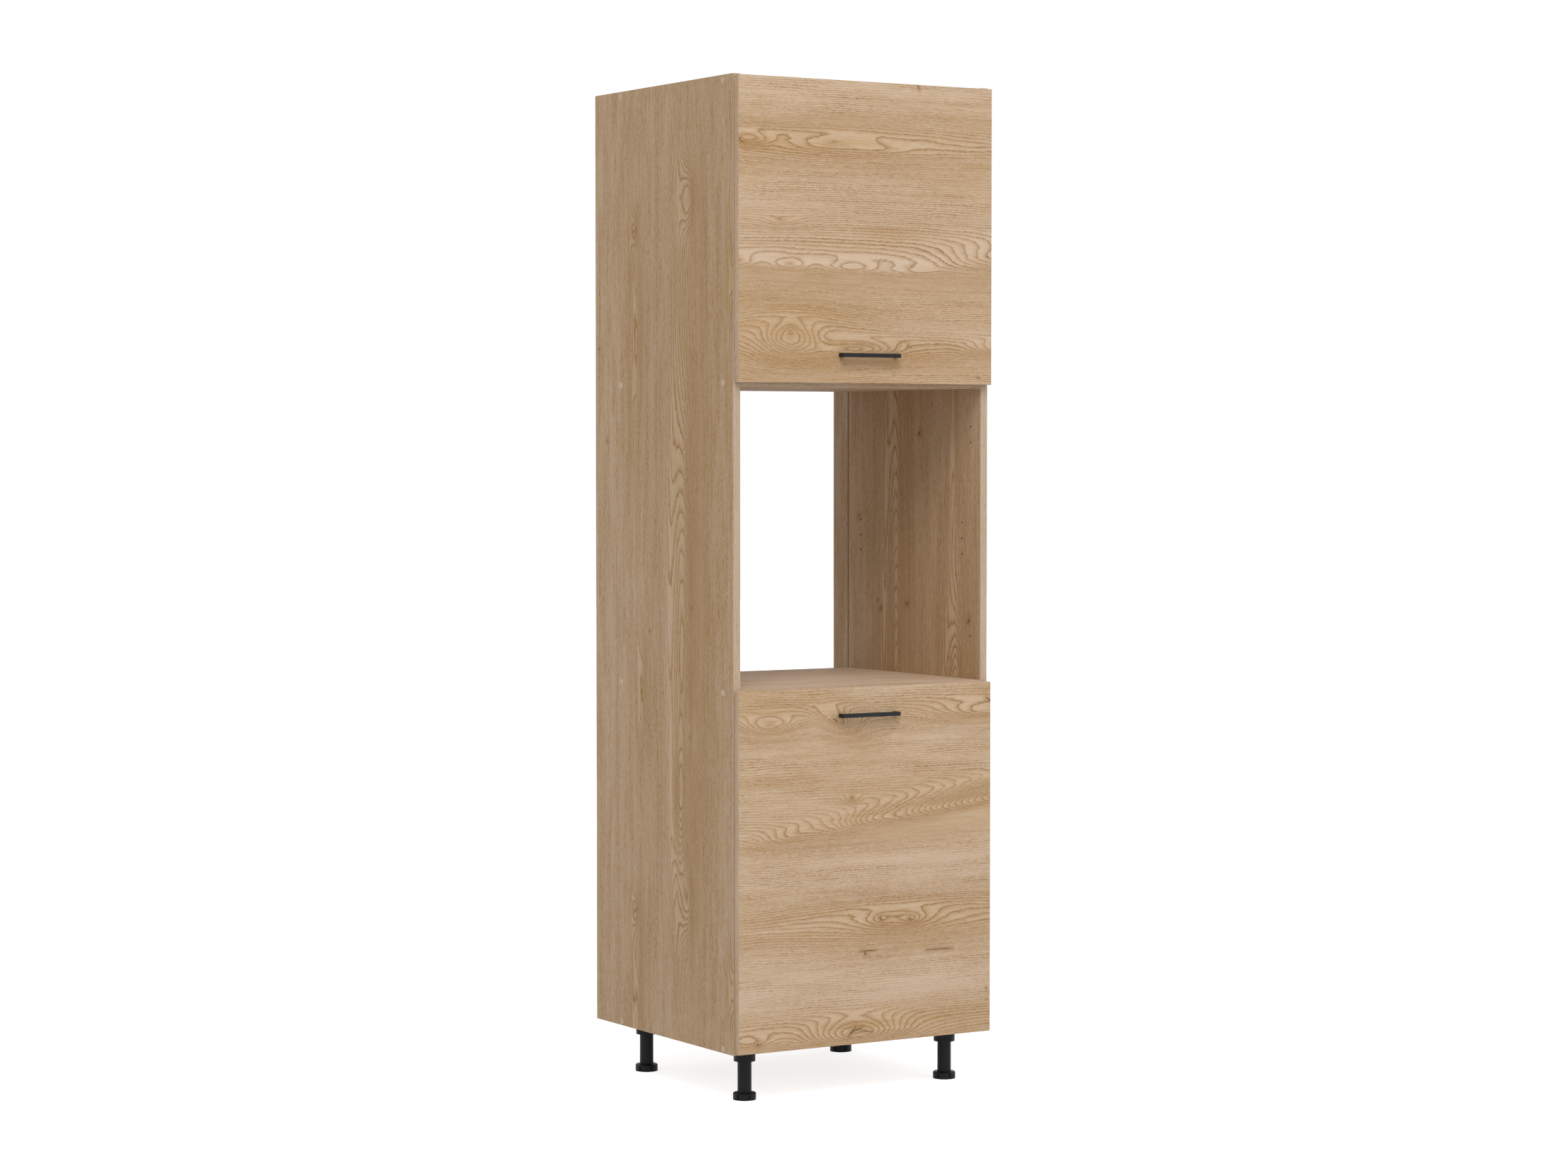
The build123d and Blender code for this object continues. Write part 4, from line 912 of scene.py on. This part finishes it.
def measured_screw(points):
    """Seat of the head, its outward direction, and the sizes in the order of SCREW_SIZES."""
    low, high = (Vector(pick(point[axis] for point in points) for axis in (X, Y, Z)) for pick in (min, max))
    along = max((X, Y, Z), key=lambda axis: high[axis] - low[axis])
    middle = (low + high) / 2
    reach = {}
    for point in points:
        offset = point - middle
        offset[along] = 0
        level = round(point[along], 6)
        reach[level] = max(reach.get(level, 0.0), offset.length)
    first, last = min(reach), max(reach)
    outward = 1 if reach[last] > reach[first] else -1
    head_end, shank_end = (last, first) if outward > 0 else (first, last)
    radius = reach[head_end]
    rim = [level for level in reach if reach[level] > RIM_SHARE * radius]
    seat_level = min(rim, key=lambda level: level * outward)
    seat, direction = middle.copy(), Vector((0, 0, 0))
    seat[along], direction[along] = seat_level, outward
    sizes = (radius, abs(head_end - seat_level), reach[shank_end], abs(seat_level - shank_end))
    return seat, direction, tuple(round(size, 5) for size in sizes)


def screws(node, body, tree, finish):
    """One mesh for all screws of a CAD node."""
    places = {}
    for points in solids_of(node):
        seat, direction, sizes = measured_screw(points)
        places.setdefault(sizes, []).append((seat, direction))
    together = bmesh.new()
    for sizes, spots in places.items():
        dots = bpy.data.meshes.new("screw_points")
        dots.from_pydata([seat for seat, _ in spots], [], [])
        ways = dots.attributes.new("direction", "FLOAT_VECTOR", "POINT")
        for item, (_, direction) in zip(ways.data, spots):
            item.vector = direction
        maker = bpy.data.objects.new("screw_points", dots)
        bpy.context.scene.collection.objects.link(maker)
        modifier = maker.modifiers.new("screws", "NODES")
        modifier.node_group = tree
        inputs = {item.name: item.identifier for item in tree.interface.items_tree if item.in_out == "INPUT"}
        for label, value in zip(SCREW_SIZES, sizes):
            modifier[inputs[label]] = value
        modifier[inputs["Finish"]] = finish
        graph = bpy.context.evaluated_depsgraph_get()
        mesh = bpy.data.meshes.new_from_object(maker.evaluated_get(graph))
        maker.modifiers.remove(modifier)
        together.from_mesh(mesh)
        bpy.data.objects.remove(maker)
    bmesh.ops.remove_doubles(together, verts=together.verts, dist=MERGE_DISTANCE)
    mesh = bpy.data.meshes.new(node + "_cross_recess")
    together.to_mesh(mesh)
    together.free()
    mesh.materials.append(finish)
    piece = bpy.data.objects.new(node + "_cross_recess", mesh)
    bpy.context.scene.collection.objects.link(piece)
    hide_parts(node)
    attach(piece, body)


cross_recess = screw_tree()
for node, body in SCREW_BODIES.items():
    screws(node, body, cross_recess, slot_materials["screw_steel"])


def seen_by_camera(g):
    """1 for what the camera sees straight, mirrored or through something clear."""
    path = g.node("ShaderNodeLightPath").outputs
    mirrored = g.math("MAXIMUM", path["Is Glossy Ray"], path["Is Transmission Ray"])
    return g.math("MAXIMUM", path["Is Camera Ray"], mirrored)


def world_light():
    """White for what the camera sees and mirrors, and grey light on the object, more of it from the front."""
    world = bpy.data.worlds.new("studio")
    bpy.context.scene.world = world
    world.use_nodes = True
    world.node_tree.nodes.clear()
    g = Graph(world.node_tree)
    way = g.separate(g.node("ShaderNodeTexCoord").outputs["Generated"])
    ambient = g.span(way[Y], AMBIENT_TURN, -AMBIENT_TURN, AMBIENT_BACK, AMBIENT_FRONT)
    shader = g.node("ShaderNodeBackground", {"Strength": g.blend(seen_by_camera(g), ambient, 1.0)})
    shader.inputs["Color"].default_value = (1, 1, 1, 1)
    out = g.node("ShaderNodeOutputWorld")
    g.tree.links.new(shader.outputs[0], out.inputs["Surface"])


def floor_plane():
    """Plain pale floor that keeps the object's shadow."""
    half = FLOOR_SIZE / 2
    mesh = bpy.data.meshes.new("floor")
    corners = [(-half, -half, 0), (half, -half, 0), (half, half, 0), (-half, half, 0)]
    mesh.from_pydata(corners, [], [(0, 1, 2, 3)])
    floor = bpy.data.objects.new("floor", mesh)
    bpy.context.scene.collection.objects.link(floor)
    material, g = new_material("floor_paint")
    glow = g.node("ShaderNodeEmission", {"Strength": g.math("MULTIPLY", seen_by_camera(g), FLOOR_GLOW)})
    paint = g.node("ShaderNodeBsdfDiffuse", {"Color": FLOOR_COLOUR})
    both = g.node("ShaderNodeAddShader")
    g.tree.links.new(glow.outputs[0], both.inputs[0])
    g.tree.links.new(paint.outputs[0], both.inputs[1])
    out = g.node("ShaderNodeOutputMaterial")
    g.tree.links.new(both.outputs[0], out.inputs["Surface"])
    mesh.materials.append(material)


def key_light():
    data = bpy.data.lights.new("key", "AREA")
    data.size = KEY_SIZE
    data.energy = KEY_POWER
    lamp = bpy.data.objects.new("key", data)
    lamp.location = KEY_AT
    lamp.rotation_euler = (Vector(KEY_AIM) - Vector(KEY_AT)).to_track_quat("-Z", "Y").to_euler()
    bpy.context.scene.collection.objects.link(lamp)


def camera():
    data = bpy.data.cameras.new("camera")
    data.lens = CAMERA_LENS
    view = bpy.data.objects.new("camera", data)
    view.location = CAMERA_AT
    view.rotation_euler = (math.radians(90 - CAMERA_DIP), 0, math.radians(CAMERA_TURN))
    bpy.context.scene.collection.objects.link(view)
    bpy.context.scene.camera = view


world_light()
floor_plane()
key_light()
camera()
bpy.context.scene.view_settings.view_transform = "Standard"
